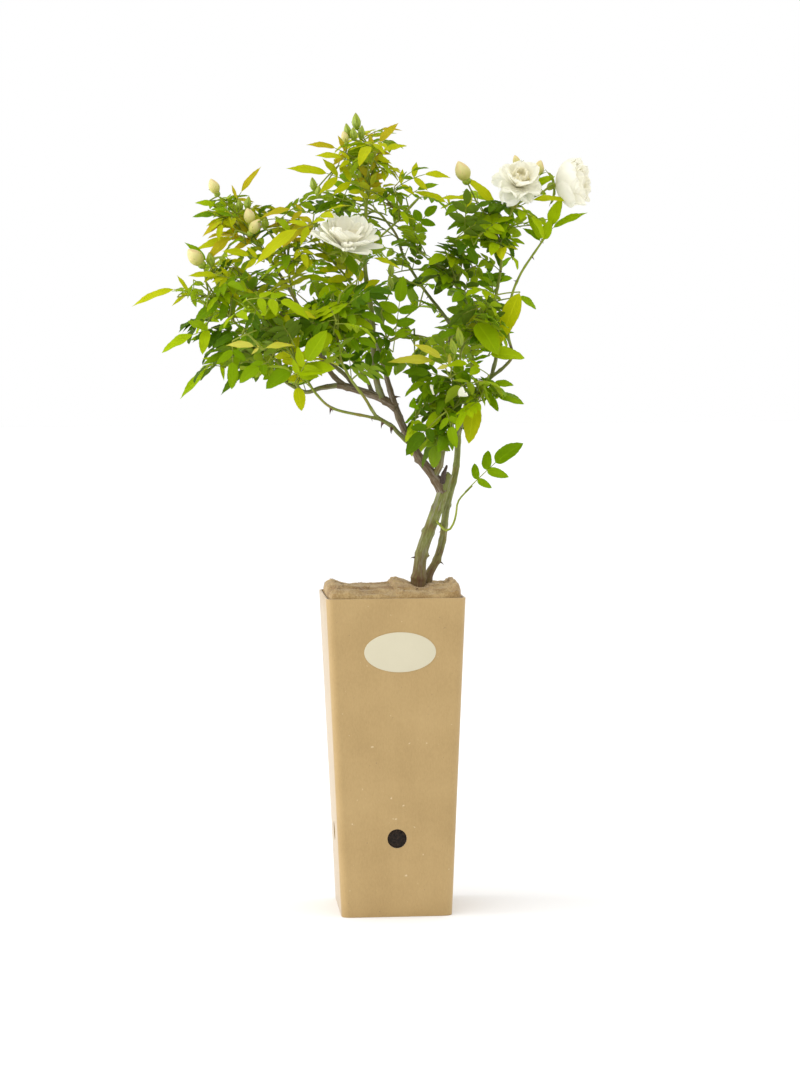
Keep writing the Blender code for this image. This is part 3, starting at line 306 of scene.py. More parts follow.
# Leaves that stand out by themselves: where each springs from and where it ends in the picture,
# how deep in the crown (at foot and tip), its pairs of leaflets, where its stalk ends as a share
# of its length, how wide its leaflets are against their length, how long its side leaflets are
# against the whole leaf, how far it bows up, and its colour.
SHOWN_LEAVES = {
    "far_left": ((203, 299), (130, 298), (-10, -12), 1, 0.42, 0.17, 0.36, 0.26, "lime"),
    "left_middle": ((222, 326), (160, 349), (-12, -14), 1, 0.5, 0.36, 0.46, 0.06, "fresh"),
    "left_lowest": ((236, 354), (177, 395), (0, -4), 1, 0.5, 0.2, 0.34, 0.12, "fresh"),
    "left_narrow": ((262, 360), (218, 391), (2, 0), 1, 0.38, 0.24, 0.34, 0.06, "deep"),
    "left_under": ((248, 350), (202, 363), (-8, -12), 1, 0.42, 0.3, 0.4, 0.08, "mid"),
    "left_arch": ((246, 244), (193, 243), (-6, -10), 0, 0.25, 0.2, 0.42, 0.26, "lime"),
    "left_beside_bud": ((208, 263), (187, 240), (-8, -10), 0, 0.12, 0.26, 0.42, 0.06, "mid"),
    "left_bronze": ((233, 237), (204, 257), (-10, -16), 0, 0.12, 0.32, 0.42, 0.16, "bronze"),
    "left_high": ((234, 214), (196, 200), (0, -4), 1, 0.5, 0.34, 0.44, 0.1, "fresh"),
    "left_high_second": ((233, 219), (192, 214), (4, 6), 1, 0.46, 0.34, 0.4, 0.08, "mid"),
    "left_high_bronze": ((234, 222), (201, 231), (-8, -12), 0, 0.3, 0.28, 0.42, 0.2, "bronze"),
    "left_flag": ((233, 206), (259, 165), (0, -2), 1, 0.34, 0.2, 0.36, 0.04, "bronze"),
    "left_lime": ((264, 262), (224, 248), (-22, -28), 1, 0.4, 0.3, 0.42, 0.06, "lime"),
    "left_lime_low": ((240, 281), (188, 274), (-20, -22), 1, 0.5, 0.26, 0.36, 0.1, "lime"),
    "left_small": ((236, 300), (194, 318), (-18, -22), 1, 0.45, 0.36, 0.44, 0.14, "mid"),
    "ridge_bronze": ((314, 214), (260, 212), (-20, -22), 1, 0.45, 0.26, 0.38, 0.14, "bronze"),
    "ridge_lime": ((320, 224), (252, 259), (-38, -44), 1, 0.36, 0.27, 0.36, 0.18, "lime"),
    "ridge_orange": ((318, 220), (280, 243), (-30, -34), 1, 0.34, 0.34, 0.44, 0.12, "bronze"),
    "top_long": ((366, 190), (287, 165), (-8, -12), 2, 0.52, 0.27, 0.34, 0.1, "lime"),
    "top_left": ((358, 160), (308, 140), (-4, -8), 1, 0.48, 0.26, 0.44, 0.1, "bronze"),
    "top_left_second": ((357, 164), (316, 153), (-12, -18), 1, 0.4, 0.3, 0.4, 0.12, "lime"),
    "top_flag": ((366, 160), (397, 121), (-2, -4), 1, 0.46, 0.3, 0.44, 0.04, "bronze"),
    "top_right": ((367, 164), (406, 142), (-4, -8), 1, 0.44, 0.3, 0.44, 0.18, "lime"),
    "arching_right": ((386, 196), (451, 173), (-4, -6), 2, 0.62, 0.3, 0.34, 0.24, "lime"),
    "dark_tip": ((406, 198), (439, 181), (4, 8), 1, 0.36, 0.26, 0.36, 0.12, "mid"),
    "lime_ribbon": ((453, 207), (415, 188), (0, -2), 1, 0.2, 0.24, 0.3, 0.08, "lime"),
    "round_small": ((408, 236), (437, 205), (6, 8), 2, 0.62, 0.5, 0.36, 0.06, "mid"),
    "beside_bud": ((496, 206), (467, 174), (-6, -8), 0, 0.06, 0.24, 0.42, 0.05, "lime"),
    "right_ribbon": ((478, 202), (438, 196), (-12, -14), 1, 0.3, 0.22, 0.32, 0.1, "lime"),
    "under_far_bloom": ((518, 207), (570, 194), (-22, -28), 0, 0.3, 0.22, 0.42, 0.14, "lime"),
    "between_blooms": ((528, 192), (554, 173), (-4, -4), 1, 0.2, 0.36, 0.5, 0.1, "fresh"),
    "far_right": ((549, 231), (587, 208), (-16, -12), 0, 0.12, 0.22, 0.42, 0.06, "fresh"),
    "far_right_high": ((551, 226), (559, 199), (-16, -20), 0, 0.05, 0.46, 0.42, 0.0, "fresh"),
    "far_right_inner": ((543, 240), (550, 221), (-16, -24), 0, 0.05, 0.52, 0.42, 0.04, "fresh"),
    "far_right_second": ((542, 241), (529, 213), (-17, -20), 0, 0.06, 0.34, 0.42, 0.2, "fresh"),
    "far_right_third": ((541, 242), (524, 225), (-17, -12), 0, 0.06, 0.34, 0.42, 0.1, "mid"),
    "right_single": ((514, 298), (538, 306), (-22, -24), 0, 0.25, 0.42, 0.42, 0.3, "mid"),
    "right_hanging": ((520, 292), (499, 340), (-30, -40), 0, 0.03, 0.34, 0.42, 0.1, "lime"),
    "right_half_moon": ((488, 356), (524, 351), (-34, -38), 0, 0.08, 0.44, 0.42, 0.22, "fresh"),
    "right_round": ((476, 322), (499, 351), (-44, -56), 0, 0.06, 0.54, 0.42, 0.1, "fresh"),
    "low_right": ((478, 397), (525, 400), (-26, -30), 1, 0.45, 0.4, 0.48, 0.1, "mid"),
    "low_hanging": ((474, 400), (470, 442), (-44, -52), 0, 0.05, 0.42, 0.42, 0.03, "lime"),
    "pale_left": ((444, 365), (389, 357), (-50, -56), 0, 0.2, 0.22, 0.42, 0.14, "pale"),
    "pale_second": ((456, 374), (416, 341), (-52, -56), 1, 0.4, 0.3, 0.34, 0.14, "pale"),
    "deep_left": ((446, 377), (403, 371), (-44, -52), 1, 0.42, 0.34, 0.36, 0.06, "deep"),
    "open_middle": ((393, 352), (403, 276), (-34, -40), 3, 0.68, 0.44, 0.27, 0.0, "mid"),
    "fork_deep": ((432, 424), (406, 453), (-48, -56), 1, 0.35, 0.5, 0.44, 0.04, "deep"),
    "bright_front": ((294, 384), (325, 330), (-72, -84), 2, 0.45, 0.42, 0.38, 0.0, "fresh"),
    "bright_broad": ((290, 376), (334, 366), (-72, -84), 0, 0.2, 0.54, 0.42, 0.08, "fresh"),
    "front_drop": ((297, 385), (302, 410), (-70, -74), 0, 0.12, 0.5, 0.42, 0.0, "lime"),
    "pale_front_left": ((264, 350), (227, 342), (-80, -84), 1, 0.3, 0.28, 0.3, 0.1, "pale"),
    "pale_front_right": ((262, 350), (293, 341), (-80, -84), 0, 0.14, 0.26, 0.42, 0.12, "pale"),
    "blunt_low": ((268, 362), (239, 381), (-70, -78), 1, 0.35, 0.54, 0.44, 0.08, "mid"),
    "blunt_second": ((296, 368), (266, 386), (-66, -76), 0, 0.25, 0.52, 0.42, 0.06, "mid"),
    "round_dark": ((242, 334), (213, 344), (-30, -36), 1, 0.35, 0.52, 0.42, 0.06, "deep"),
    "inner_dark": ((318, 322), (274, 329), (-50, -60), 1, 0.35, 0.26, 0.36, 0.04, "deep"),
    "under_bloom": ((362, 258), (402, 264), (-34, -38), 0, 0.3, 0.22, 0.42, 0.1, "lime"),
    "sprig": ((466, 491), (521, 441), (-22, -30), 2, 0.56, 0.44, 0.3, 0.04, "mid"),
}

# The crown's outline in the picture, which no leaf grown by chance crosses, clockwise from the top
CROWN_OUTLINE = (
    (355, 122), (372, 126), (394, 122), (405, 141), (388, 158), (396, 168), (424, 162), (448, 171),
    (425, 180), (437, 183), (428, 191), (445, 196), (470, 190), (490, 190), (500, 200), (522, 200),
    (530, 188), (560, 196), (552, 217), (545, 240), (528, 236), (522, 250), (517, 268), (508, 285),
    (516, 300), (506, 340), (520, 350), (502, 358), (491, 366), (494, 380), (510, 380), (522, 400),
    (500, 408), (487, 404), (480, 414), (476, 436), (467, 441), (461, 428), (457, 446), (464, 480),
    (450, 470), (440, 478), (425, 462), (404, 452), (404, 415), (413, 396), (410, 380), (402, 372),
    (385, 384), (370, 386), (358, 380), (343, 372), (334, 370), (320, 381), (304, 385), (304, 408),
    (294, 405), (291, 388), (262, 387), (240, 384), (222, 391), (214, 373), (182, 392), (200, 368),
    (203, 356), (213, 345), (166, 347), (184, 336), (172, 321), (198, 319), (196, 305), (165, 305),
    (178, 293), (136, 297), (168, 286), (190, 281), (205, 270), (190, 262), (190, 245), (200, 235),
    (212, 222), (195, 216), (197, 200), (215, 191), (233, 196), (240, 180), (257, 166), (249, 195),
    (262, 206), (290, 200), (300, 194), (309, 190), (312, 180), (322, 183), (340, 186), (320, 174),
    (290, 165), (302, 157), (326, 158), (316, 150), (312, 141), (340, 139), (345, 127))

# Where the sky shows through the crown in the picture: middle and reach of each gap
SKY_GAPS = (
    (387, 231, 9, 14), (416, 203, 10, 10), (439, 225, 15, 12), (427, 324, 13, 13),
    (388, 330, 8, 8), (378, 271, 11, 10), (274, 242, 8, 8), (203, 241, 8, 7), (209, 288, 8, 6),
    (217, 379, 9, 7), (429, 247, 8, 7), (501, 361, 7, 9), (375, 213, 8, 6), (485, 372, 6, 8),
    (272, 217, 6, 6), (470, 455, 9, 13), (449, 463, 8, 14), (505, 295, 6, 11), (513, 273, 7, 7),
    (529, 242, 9, 13), (542, 207, 12, 9), (322, 180, 16, 8), (405, 350, 12, 7), (218, 252, 7, 6),
    (256, 266, 6, 5), (356, 281, 5, 5), (312, 150, 8, 6), (433, 184, 26, 8), (181, 307, 12, 10),
    (225, 193, 5, 5), (292, 393, 5, 7), (423, 293, 12, 6), (444, 304, 7, 9), (398, 302, 6, 9),
    (408, 318, 6, 8), (397, 344, 7, 8), (384, 300, 4, 8), (523, 304, 6, 6), (398, 272, 6, 6),
    (335, 377, 8, 5), (460, 484, 5, 5), (290, 252, 4, 4), (303, 300, 6, 8), (414, 272, 6, 6))

# Blooms: foot of each, how it faces, the radius of its widest petals and its kind, and the oval that
# it fills in the picture round a middle this far above its foot, which leaves keep out of
BLOOMS = {
    "side_bloom": dict(base=(-35, -35, 498.5), axis=(0.15, -0.48, 0.86), radius=25.5, rings="open",
                       show=12, oval=(34, 20)),
    "facing_bloom": dict(base=(96, -22, 546), axis=(0.05, -0.74, 0.66), radius=16.5, rings="full",
                         show=10, oval=(24, 24)),
    "cupped_bloom": dict(base=(126, -10, 547.5), axis=(0.93, -0.33, 0.10), radius=20.5, rings="cupped",
                         show=12, oval=(20, 27), stalk=[(99, -15, 535), (112, -14, 540), (120, -12, 546)]),
    "back_bloom": dict(base=(-24, 82, 503), axis=(-0.1, 0.9, 0.42), radius=16.0, rings="open"),
}

# How each kind of bloom is built, ring by ring from the outside: petals, reach, angle off the axis
# at the claw, how far it turns to the tip, breadth, cup and ruffle, and how creamy it is.
BLOOM_RINGS = {
    "open": ((14, 1.06, 64, -4, 0.34, 0.25, 0.9, 0.00), (9, 1.04, 50, -6, 0.56, 0.25, 0.9, 0.05),
             (7, 0.92, 38, -4, 0.56, 0.35, 0.9, 0.10), (5, 0.56, 34, -6, 0.34, 0.50, 0.6, 0.30)),
    "full": ((6, 1.10, 88, 8, 0.95, 0.15, 1.8, 0.00), (6, 1.08, 68, 0, 0.85, 0.25, 1.6, 0.05),
             (5, 1.12, 42, -14, 1.15, 0.35, 0.8, 0.10), (4, 0.84, 26, -30, 1.00, 0.50, 0.5, 0.50),
             (3, 0.60, 12, -44, 0.80, 0.80, 0.3, 1.00)),
    "cupped": ((6, 1.36, 78, -78, 1.20, 0.35, 0.5, 0.00), (6, 1.34, 62, -56, 1.10, 0.45, 0.5, 0.05),
               (6, 1.26, 44, -34, 0.95, 0.50, 0.6, 0.15), (5, 1.14, 28, -22, 0.75, 0.55, 0.6, 0.30)),
}
BLOOM_NOTCH = {"open": 1.6, "full": 1.4, "cupped": 0.5}
BLOOM_HEART = 5
BLOOM_SPACE = 0.8
PETAL_SHARP = 55
STAMENS = {"side_bloom": 44, "back_bloom": 34}

# How unlike the petals of a ring are: their breadth, and their lean in degrees
PETAL_SPREAD = {"open": ((0.62, 1.42), 11), "full": ((0.82, 1.12), 6), "cupped": ((0.82, 1.12), 6)}

# Buds: foot and tip of each in the picture, how deep it lies, its radius and whether its petals show
BUDS = {
    "top_first": ((357, 129), (355.6, 112.5), 0, 3.6, "green"),
    "top_second": ((349, 137), (346, 123), -4, 3.0, "green"),
    "top_third": ((354, 140), (353, 127), -8, 3.1, "green"),
    "top_fourth": ((361, 139), (362, 125), -2, 2.8, "green"),
    "top_cream": ((347, 144), (343, 131), -8, 2.8, "cream"),
    "shoulder_first": ((315, 191), (312, 177), -8, 2.9, "green"),
    "shoulder_second": ((318, 197), (319, 185), -12, 2.6, "green"),
    "left_cream": ((218, 196), (210.5, 178.5), 2, 4.0, "cream"),
    "left_green_first": ((240, 211), (239, 199), 0, 3.0, "green"),
    "left_green_second": ((247, 209), (249, 196), -4, 3.0, "green"),
    "left_green_third": ((265, 229), (265, 217), -16, 3.0, "green"),
    "left_opening": ((252, 226), (247, 208), -12, 4.2, "cream"),
    "left_opening_second": ((249, 235), (260, 219), -16, 4.0, "cream"),
    "lower_cream": ((204, 267), (188, 249), -12, 5.4, "cream"),
    "lower_green": ((212, 266), (209, 252), -10, 3.4, "green"),
    "middle_hanging": ((391, 276), (391, 262), -20, 2.6, "green"),
    "middle_hanging_second": ((392, 288), (389, 275), -22, 2.4, "green"),
    "right_cream": ((468, 184), (458, 161), -3, 5.6, "cream"),
    "behind_facing": ((519, 168), (514.5, 155), -2, 2.8, "opening"),
    "behind_facing_second": ((536, 178), (541, 160), -6, 4.0, "opening"),
    "low_young": ((461, 345), (458, 327), -52, 3.0, "green"),
    "low_young_second": ((455, 353), (451, 338), -54, 2.6, "green"),
    "back_green": ((196, 262), (193, 247), 84, 3.4, "green"),
}

# Loose petals caught among the leaves: place, depth and size
FALLEN_PETALS = {
    "upper": ((451, 293), -20, 8.0),
    "middle": ((459, 387), -60, 11.0),
    "lower": ((433, 390), -52, 8.0),
}

# Prickles: place in the picture, depth, and which way the point leans in the picture
PRICKLES = {
    "lateral_first": ((379, 416), -33, (-1, 1)),
    "lateral_second": ((384, 425), -31, (-1, -1)),
    "lateral_third": ((391, 426), -26, (0, -1)),
    "lateral_fourth": ((392, 432), -26, (0, -1)),
    "arm_first": ((330, 408), -42, (-1, -1)),
    "bough_first": ((399, 396), -8, (1, 1)),
    "trunk_first": ((414, 558), -2, (-1, 0)),
    "stem_first": ((437, 560), 11, (1, -1)),
    "stem_second": ((443, 524), 13, (-1, 0)),
}
PRICKLY_LIMBS = ("front_lateral", "front_arm", "second_stem", "arch_lower", "right_bough", "right_rise",
                 "left_arm", "leader", "back_left_bough", "back_right_bough", "arch_upper", "right_outer")

# Leaves grown by chance
GOLDEN_ANGLE = math.radians(137.508)
LEAF_BOW = 0.20
BOW_PEAK = 0.45
FACE_UP = 0.85
FACE_OUT = 0.35
FACE_CHANCE = 0.5
LEAF_FLATNESS = 0.62
CROWN_MIDDLE = Vector((-20.0, 8.0, 455.0))
STALK_END = 0.56
STALK_STEPS = 7
LOOK_AHEAD = 0.02
PAIR_ROOT = 0.16
PAIR_END = 0.55
FIRST_PAIR = 0.82
PAIR_GAIN = 0.18
PAIR_ANGLE = math.radians(58)
PAIR_STRAY = math.radians(9)
PAIR_DROOP = 0.14
SIDE_SHARE = 0.42
SIDE_SPREAD = (0.82, 1.05)
SPAN_OF_LEAFLET = 2.2
LENGTH_SPREAD = (0.75, 1.15)
WIDE_SPREAD = (0.9, 1.12)
STEM_STEPS = 8
STEM_REACH = 0.30
STEM_RISE = 0.15
STEM_RADIUS = 1.0
STEM_TIP = 0.6
TWIGS = 9
TWIG_REACH = 0.85
TWIG_BOW = 0.12
TWIG_STEPS = 5
TWIG_FLATNESS = 0.6
TWIG_RISE = 0.15
TWIG_RADIUS = 0.7
TWIG_SIDES = 7
TOUCHING = 1.5
REACH_BOW = 0.06
STALK_RADIUS = 0.42
RACHIS_RADIUS = 0.30
BLOOM_STALK_RADIUS = 0.8
LEAF_TWIG_RADIUS = STALK_RADIUS * 1.25
BUD_TWIG_RADIUS = STALK_RADIUS * 1.35
LEAF_TRIES = 24
LEAF_STRAY = 0.9
LEAST_STRAY = 0.3
LEAF_PAIRS = (1, 2, 2, 2, 3)
FILL_PAIRS = (1, 1, 2, 2, 3)
INNER_SHARE = 0.3
OUTER_SHARE = 0.7
OUTWARD = 0.6
SHORTEST = 0.45
LONGEST = 1.15
NODES_TRIED = 10
NODES_SOUGHT = 16
FULLNESS = 1.6
BREADTH = 1.14
SHOWN_BREADTH = 1.12
COVER_CELL = 3.0
COVER_SHARES = (0.14, 0.3, 0.46, 0.62, 0.78, 0.94)
COVER_BREADTH = 0.42
COVER_DEPTH = 4
KITE_FOOT = 0.06
KITE_MIDDLE = 0.45
KITE_TIP = 0.97
BUD_OVAL = (6, 9)
STRAY_SHARE = 0.07
HIDING_SHARE = 0.04
FILL_WORTH = 0.2
FILL_TRIES = 10
FILL_LEAST = 8
FILL_MASSES = 4
FILL_SPAN = (0.78, 1.06)
FILL_REACH = 1.5
FILL_DEPTH = 0.75
FRONT_DEPTH = 25.0
BACK_DEPTH = 50
NODE_CROWDING = 9.0
REACH_STRETCH = 1.22
CELL_MARGIN = -12.0
LIMB_MARGIN = 0.5
BEND_SPREAD = (0.05, 0.24)

# Leaflet
LEAFLET_RINGS = 15
LEAFLET_SIDES = 4
BLADE_THICKNESS = 0.011
BLADE_FOLD = 0.16
TOOTH_DEPTH = 0.035
WAVE_HEIGHT = 0.022
BLUNT_FROM = 0.30
BLUNT_TO = 0.46

# Lamps: kind, place in metres, how soft and how strong
FLOOR_SIZE = 40.0
LAMP_TARGET = Vector((0.0, 0.0, 0.36))
LAMPS = (("top", "SUN", (-1.0, -1.2, 3.0), 1.2, 0.9), ("left", "AREA", (-2.0, 0.1, 0.7), 1.2, 22.0),
         ("right", "AREA", (2.0, 0.3, 0.9), 1.0, 7.0))


def operator(operation, swapped=False):
    """A method that adds a Math node for a value and what stands beside it."""
    def apply(self, other):
        pair = (other, self) if swapped else (self, other)
        return self.tree.maths(operation, *pair)
    return apply


class Value:
    """A socket of a node tree; sums with it add Math nodes to the tree."""

    __add__ = operator("ADD")
    __radd__ = operator("ADD", True)
    __sub__ = operator("SUBTRACT")
    __rsub__ = operator("SUBTRACT", True)
    __mul__ = operator("MULTIPLY")
    __rmul__ = operator("MULTIPLY", True)
    __truediv__ = operator("DIVIDE")
    __pow__ = operator("POWER")

    def __init__(self, tree, socket):
        self.tree = tree
        self.socket = socket


class Tree:
    """A material's or a geometry's node tree, written as expressions."""

    def __init__(self, nodes):
        self.tree = nodes

    def add(self, kind, settings=None, inputs=None, out=0):
        """A node of a type, its settings made first, then its sockets' values or links."""
        node = self.tree.nodes.new(kind)
        for key, value in (settings or {}).items():
            if key == "stops":
                self.fill_ramp(node.color_ramp, value)
            else:
                setattr(node, key, value)
        for key, value in (inputs or {}).items():
            self.feed(self.find(node.inputs, key), value)
        return Value(self, self.find(node.outputs, out)) if node.outputs else node

    def find(self, sockets, key):
        """A socket by its place, its identifier or its name."""
        if isinstance(key, int):
            return sockets[key]
        for socket in sockets:
            if socket.identifier == key:
                return socket
        return sockets[key]

    def feed(self, socket, value):
        """Link a socket to a value, or set its own number or colour."""
        if isinstance(value, Value):
            self.tree.links.new(value.socket, socket)
        else:
            socket.default_value = (*value, 1.0) if socket.type == "RGBA" else value

    def fill_ramp(self, ramp, stops):
        while len(ramp.elements) < len(stops):
            ramp.elements.new(1.0)
        for element, (place, colour) in zip(ramp.elements, stops):
            element.position = place
            element.color = (*colour, 1.0)

    def maths(self, operation, *values):
        return self.add("ShaderNodeMath", {"operation": operation}, dict(enumerate(values)))

    def clamp(self, value, low, high):
        """The value's place between low and high, as 0 to 1 with soft ends."""
        return self.add("ShaderNodeMapRange", {"interpolation_type": "SMOOTHSTEP"},
                        {"Value": value, "From Min": low, "From Max": high, "To Min": 0.0, "To Max": 1.0})

    def moved(self, place, direction, distance):
        """A place moved along a direction."""
        arm = self.add("ShaderNodeVectorMath", {"operation": "SCALE"}, {0: direction, "Scale": distance})
        return self.add("ShaderNodeVectorMath", {"operation": "ADD"}, {0: place, 1: arm})

    def combine(self, x, y, z):
        return self.add("ShaderNodeCombineXYZ", None, {0: x, 1: y, 2: z})

    def split(self, vector):
        x = self.add("ShaderNodeSeparateXYZ", None, {0: vector})
        return x, Value(self, x.socket.node.outputs[1]), Value(self, x.socket.node.outputs[2])


class Finish(Tree):
    """A material whose shader is one Principled BSDF."""

    def __init__(self, name):
        self.material = bpy.data.materials.new(name)
        self.material.use_nodes = True
        super().__init__(self.material.node_tree)
        self.tree.nodes.clear()

    def place(self):
        """The place on the piece in metres."""
        return self.add("ShaderNodeTexCoord", None, None, "Object")

    def attribute(self, name, out="Vector"):
        """What the piece carries under a name at each point."""
        return self.add("ShaderNodeAttribute", {"attribute_name": name}, None, out)

    def noise(self, scale, detail=3.0, rough=0.5, twist=0.0, place=None):
        """Clouds over the piece or a place given; a scale of three numbers stretches them."""
        place = place or self.place()
        if isinstance(scale, tuple):
            place = self.add("ShaderNodeMapping", None, {"Vector": place, "Scale": scale})
            scale = 1.0
        return self.add("ShaderNodeTexNoise", None, {
            "Vector": place, "Scale": scale, "Detail": detail, "Roughness": rough, "Distortion": twist})

    def ramp(self, value, *stops):
        """The colour that a value has between stops."""
        return self.add("ShaderNodeValToRGB", {"stops": stops}, {"Fac": value})

    def mix(self, share, first, second):
        """One colour or another by a share."""
        return self.add("ShaderNodeMix", {"data_type": "RGBA"}, {
            "Factor_Float": share, "A_Color": first, "B_Color": second}, "Result_Color")

    def coat(self, colour, *coats):
        """A colour with other colours laid over it, each by its share."""
        for share, other in coats:
            colour = self.mix(share, colour, other)
        return colour

    def finish(self, colour, roughness, height=None, strength=0.0, depth=0.0, through=None, share=0.0,
               **constants):
        """Close the material. through is a colour that light takes as it passes the blade."""
        inputs = {"Base Color": colour, "Roughness": roughness}
        if height is not None:
            inputs["Normal"] = self.add("ShaderNodeBump", None, {
                "Height": height, "Strength": strength, "Distance": depth})
        for name, value in constants.items():
            inputs[name.replace("_", " ")] = value
        shader = self.add("ShaderNodeBsdfPrincipled", None, inputs)
        if through is not None:
            passed = self.add("ShaderNodeBsdfTranslucent", None, {"Color": through})
            shader = self.add("ShaderNodeMixShader", None, {0: share, 1: shader, 2: passed})
        self.add("ShaderNodeOutputMaterial", None, {"Surface": shader})
        return self.material


# Finishes


def kraft_board():
    look = Finish("kraft board")
    cloud = look.noise(22.0)
    streak = look.noise((160.0, 160.0, 9.0))
    fibre = look.noise((900.0, 900.0, 380.0), 4.0, 0.65)
    flecks = look.noise(420.0, 2.0)
    dark = look.clamp(flecks, 0.735, 0.79)
    pale = look.clamp(look.noise((330.0, 429.0, 330.0), 1.0), 0.755, 0.81)
    base = look.ramp(cloud * 0.55 + streak * 0.12 + fibre * 0.45, (0.38, (0.375, 0.247, 0.094)),
                     (0.57, (0.428, 0.287, 0.115)), (0.78, (0.475, 0.325, 0.138)))
    colour = look.coat(base, (dark * 0.6, (0.20, 0.13, 0.07)), (pale * 0.55, (0.75, 0.62, 0.42)))
    return look.finish(colour, 0.52 + fibre * 0.14, fibre * 0.6 + flecks * 0.3, 0.25, 0.00025,
                       Sheen_Weight=0.6, Sheen_Roughness=0.3)


def torn_paper():
    look = Finish("torn paper")
    cloud = look.noise(60.0, 3.0, 0.55)
    fibre = look.noise((700.0, 250.0, 500.0), 4.0, 0.7, 0.6)
    crumb = look.noise(900.0, 3.0, 0.6)
    base = look.ramp(cloud * 0.45 + fibre * 0.35 + crumb * 0.3, (0.40, (0.205, 0.110, 0.036)),
                     (0.53, (0.345, 0.222, 0.084)), (0.66, (0.470, 0.330, 0.150)))
    stain = look.clamp(look.noise(85.0, 2.0), 0.64, 0.76)
    return look.finish(look.mix(stain * 0.45, base, (0.42, 0.20, 0.10)), 0.92,
                       crumb + fibre * 0.8, 0.85, 0.0009, Sheen_Weight=0.15, Sheen_Roughness=0.5)


def label_paper():
    look = Finish("label paper")
    fibre = look.noise((1200.0, 1200.0, 900.0), 3.0, 0.6)
    cloud = look.noise(70.0, 2.0)
    colour = look.mix(cloud * 0.6 + fibre * 0.3, (0.58, 0.53, 0.375), (0.64, 0.59, 0.43))
    return look.finish(colour, 0.5, fibre, 0.12, 0.0001, Sheen_Weight=0.1)


def potting_soil():
    look = Finish("potting soil")
    crumb = look.noise(420.0, 4.0, 0.7)
    cell = look.add("ShaderNodeTexVoronoi", None, {"Vector": look.place(), "Scale": 520.0})
    colour = look.mix(look.clamp(crumb, 0.35, 0.7), (0.005, 0.003, 0.002), (0.034, 0.020, 0.012))
    return look.finish(colour, 0.95, crumb + cell * 0.7, 0.9, 0.0015)


def cane_bark():
    """Brown furrowed bark where the attribute age is high, smooth green where it is low."""
    look = Finish("cane bark")
    grain = look.attribute("grain")
    age = look.attribute("age", "Fac")
    streak = look.noise(1.0, 4.0, 0.62, 0.4, grain)
    fine = look.noise((3.5, 3.5, 3.0), 4.0, 0.65, place=grain)
    spots = look.noise(900.0, 2.0)
    cloud = look.noise(90.0, 3.0, 0.55)
    old = look.ramp(streak * 0.62 + fine * 0.4, (0.32, (0.055, 0.032, 0.014)), (0.46, (0.120, 0.085, 0.042)),
                    (0.58, (0.200, 0.155, 0.098)), (0.74, (0.34, 0.29, 0.21)))
    middle = look.ramp(streak * 0.5 + cloud * 0.5, (0.34, (0.085, 0.060, 0.022)),
                       (0.43, (0.140, 0.155, 0.032)), (0.56, (0.205, 0.230, 0.056)),
                       (0.70, (0.290, 0.285, 0.175)))
    young = look.ramp(cloud * 0.6 + fine * 0.4, (0.30, (0.13, 0.175, 0.008)), (0.52, (0.22, 0.27, 0.016)),
                      (0.70, (0.34, 0.37, 0.040)))
    blush = look.clamp(look.noise(55.0, 2.0), 0.56, 0.72) * (1.0 - age)
    speck = look.clamp(spots, 0.70, 0.76) * age
    cork = look.noise((0.5, 0.5, 0.4), 2.0, place=grain)
    patch = look.clamp(cork + (streak - 0.5) * 0.5, 0.52, 0.64) * look.clamp(age, 0.30, 0.45)
    mottle = look.clamp(look.noise((1.6, 1.6, 1.2), 4.0, 0.6, 0.3, grain), 0.54, 0.66)
    level = look.split(look.place())[2]
    foot = 1.0 - look.clamp(level + (cloud - 0.5) * 0.02, FOOT_LOW, FOOT_HIGH)
    colour = look.coat(young, (look.clamp(age + (streak - 0.5) * 0.55, 0.06, 0.42), middle),
                       (look.clamp(age + (0.5 - streak) * 0.9, 0.50, 0.86), old),
                       (blush * 0.5, (0.22, 0.085, 0.025)), (speck * 0.7, (0.36, 0.31, 0.22)),
                       (patch * 0.35, (0.285, 0.250, 0.235)),
                       (mottle * look.clamp(age, 0.25, 0.50) * 0.6, (0.135, 0.072, 0.034)),
                       (foot * (0.6 + mottle * 0.4), (0.130, 0.050, 0.028)))
    height = (streak * 1.2 + fine * 0.8) * (age * 0.9 + 0.1)
    return look.finish(colour, 0.78 - 0.22 * (1.0 - age), height, 0.7, 0.0006, Specular_IOR_Level=0.3)


def cut_wood():
    look = Finish("cut wood")
    rings = look.noise((420.0, 420.0, 120.0), 3.0, 0.6)
    colour = look.mix(look.clamp(rings, 0.3, 0.7), (0.17, 0.14, 0.085), (0.36, 0.32, 0.22))
    return look.finish(colour, 0.8, rings, 0.4, 0.0004)


def dead_wood():
    look = Finish("dead wood")
    streak = look.noise(1.4, 4.0, 0.65, place=look.attribute("grain"))
    colour = look.mix(streak, (0.020, 0.012, 0.009), (0.11, 0.075, 0.055))
    return look.finish(colour, 0.85, streak, 0.6, 0.0005)


def prickle_horn():
    look = Finish("prickle horn")
    speck = look.noise(700.0, 2.0)
    share = look.clamp(look.attribute("reach", "Fac") + speck * 0.3, 0.25, 1.0)
    return look.finish(look.mix(share, (0.085, 0.034, 0.016), (0.035, 0.014, 0.010)), 0.42,
                       speck, 0.1, 0.0002)


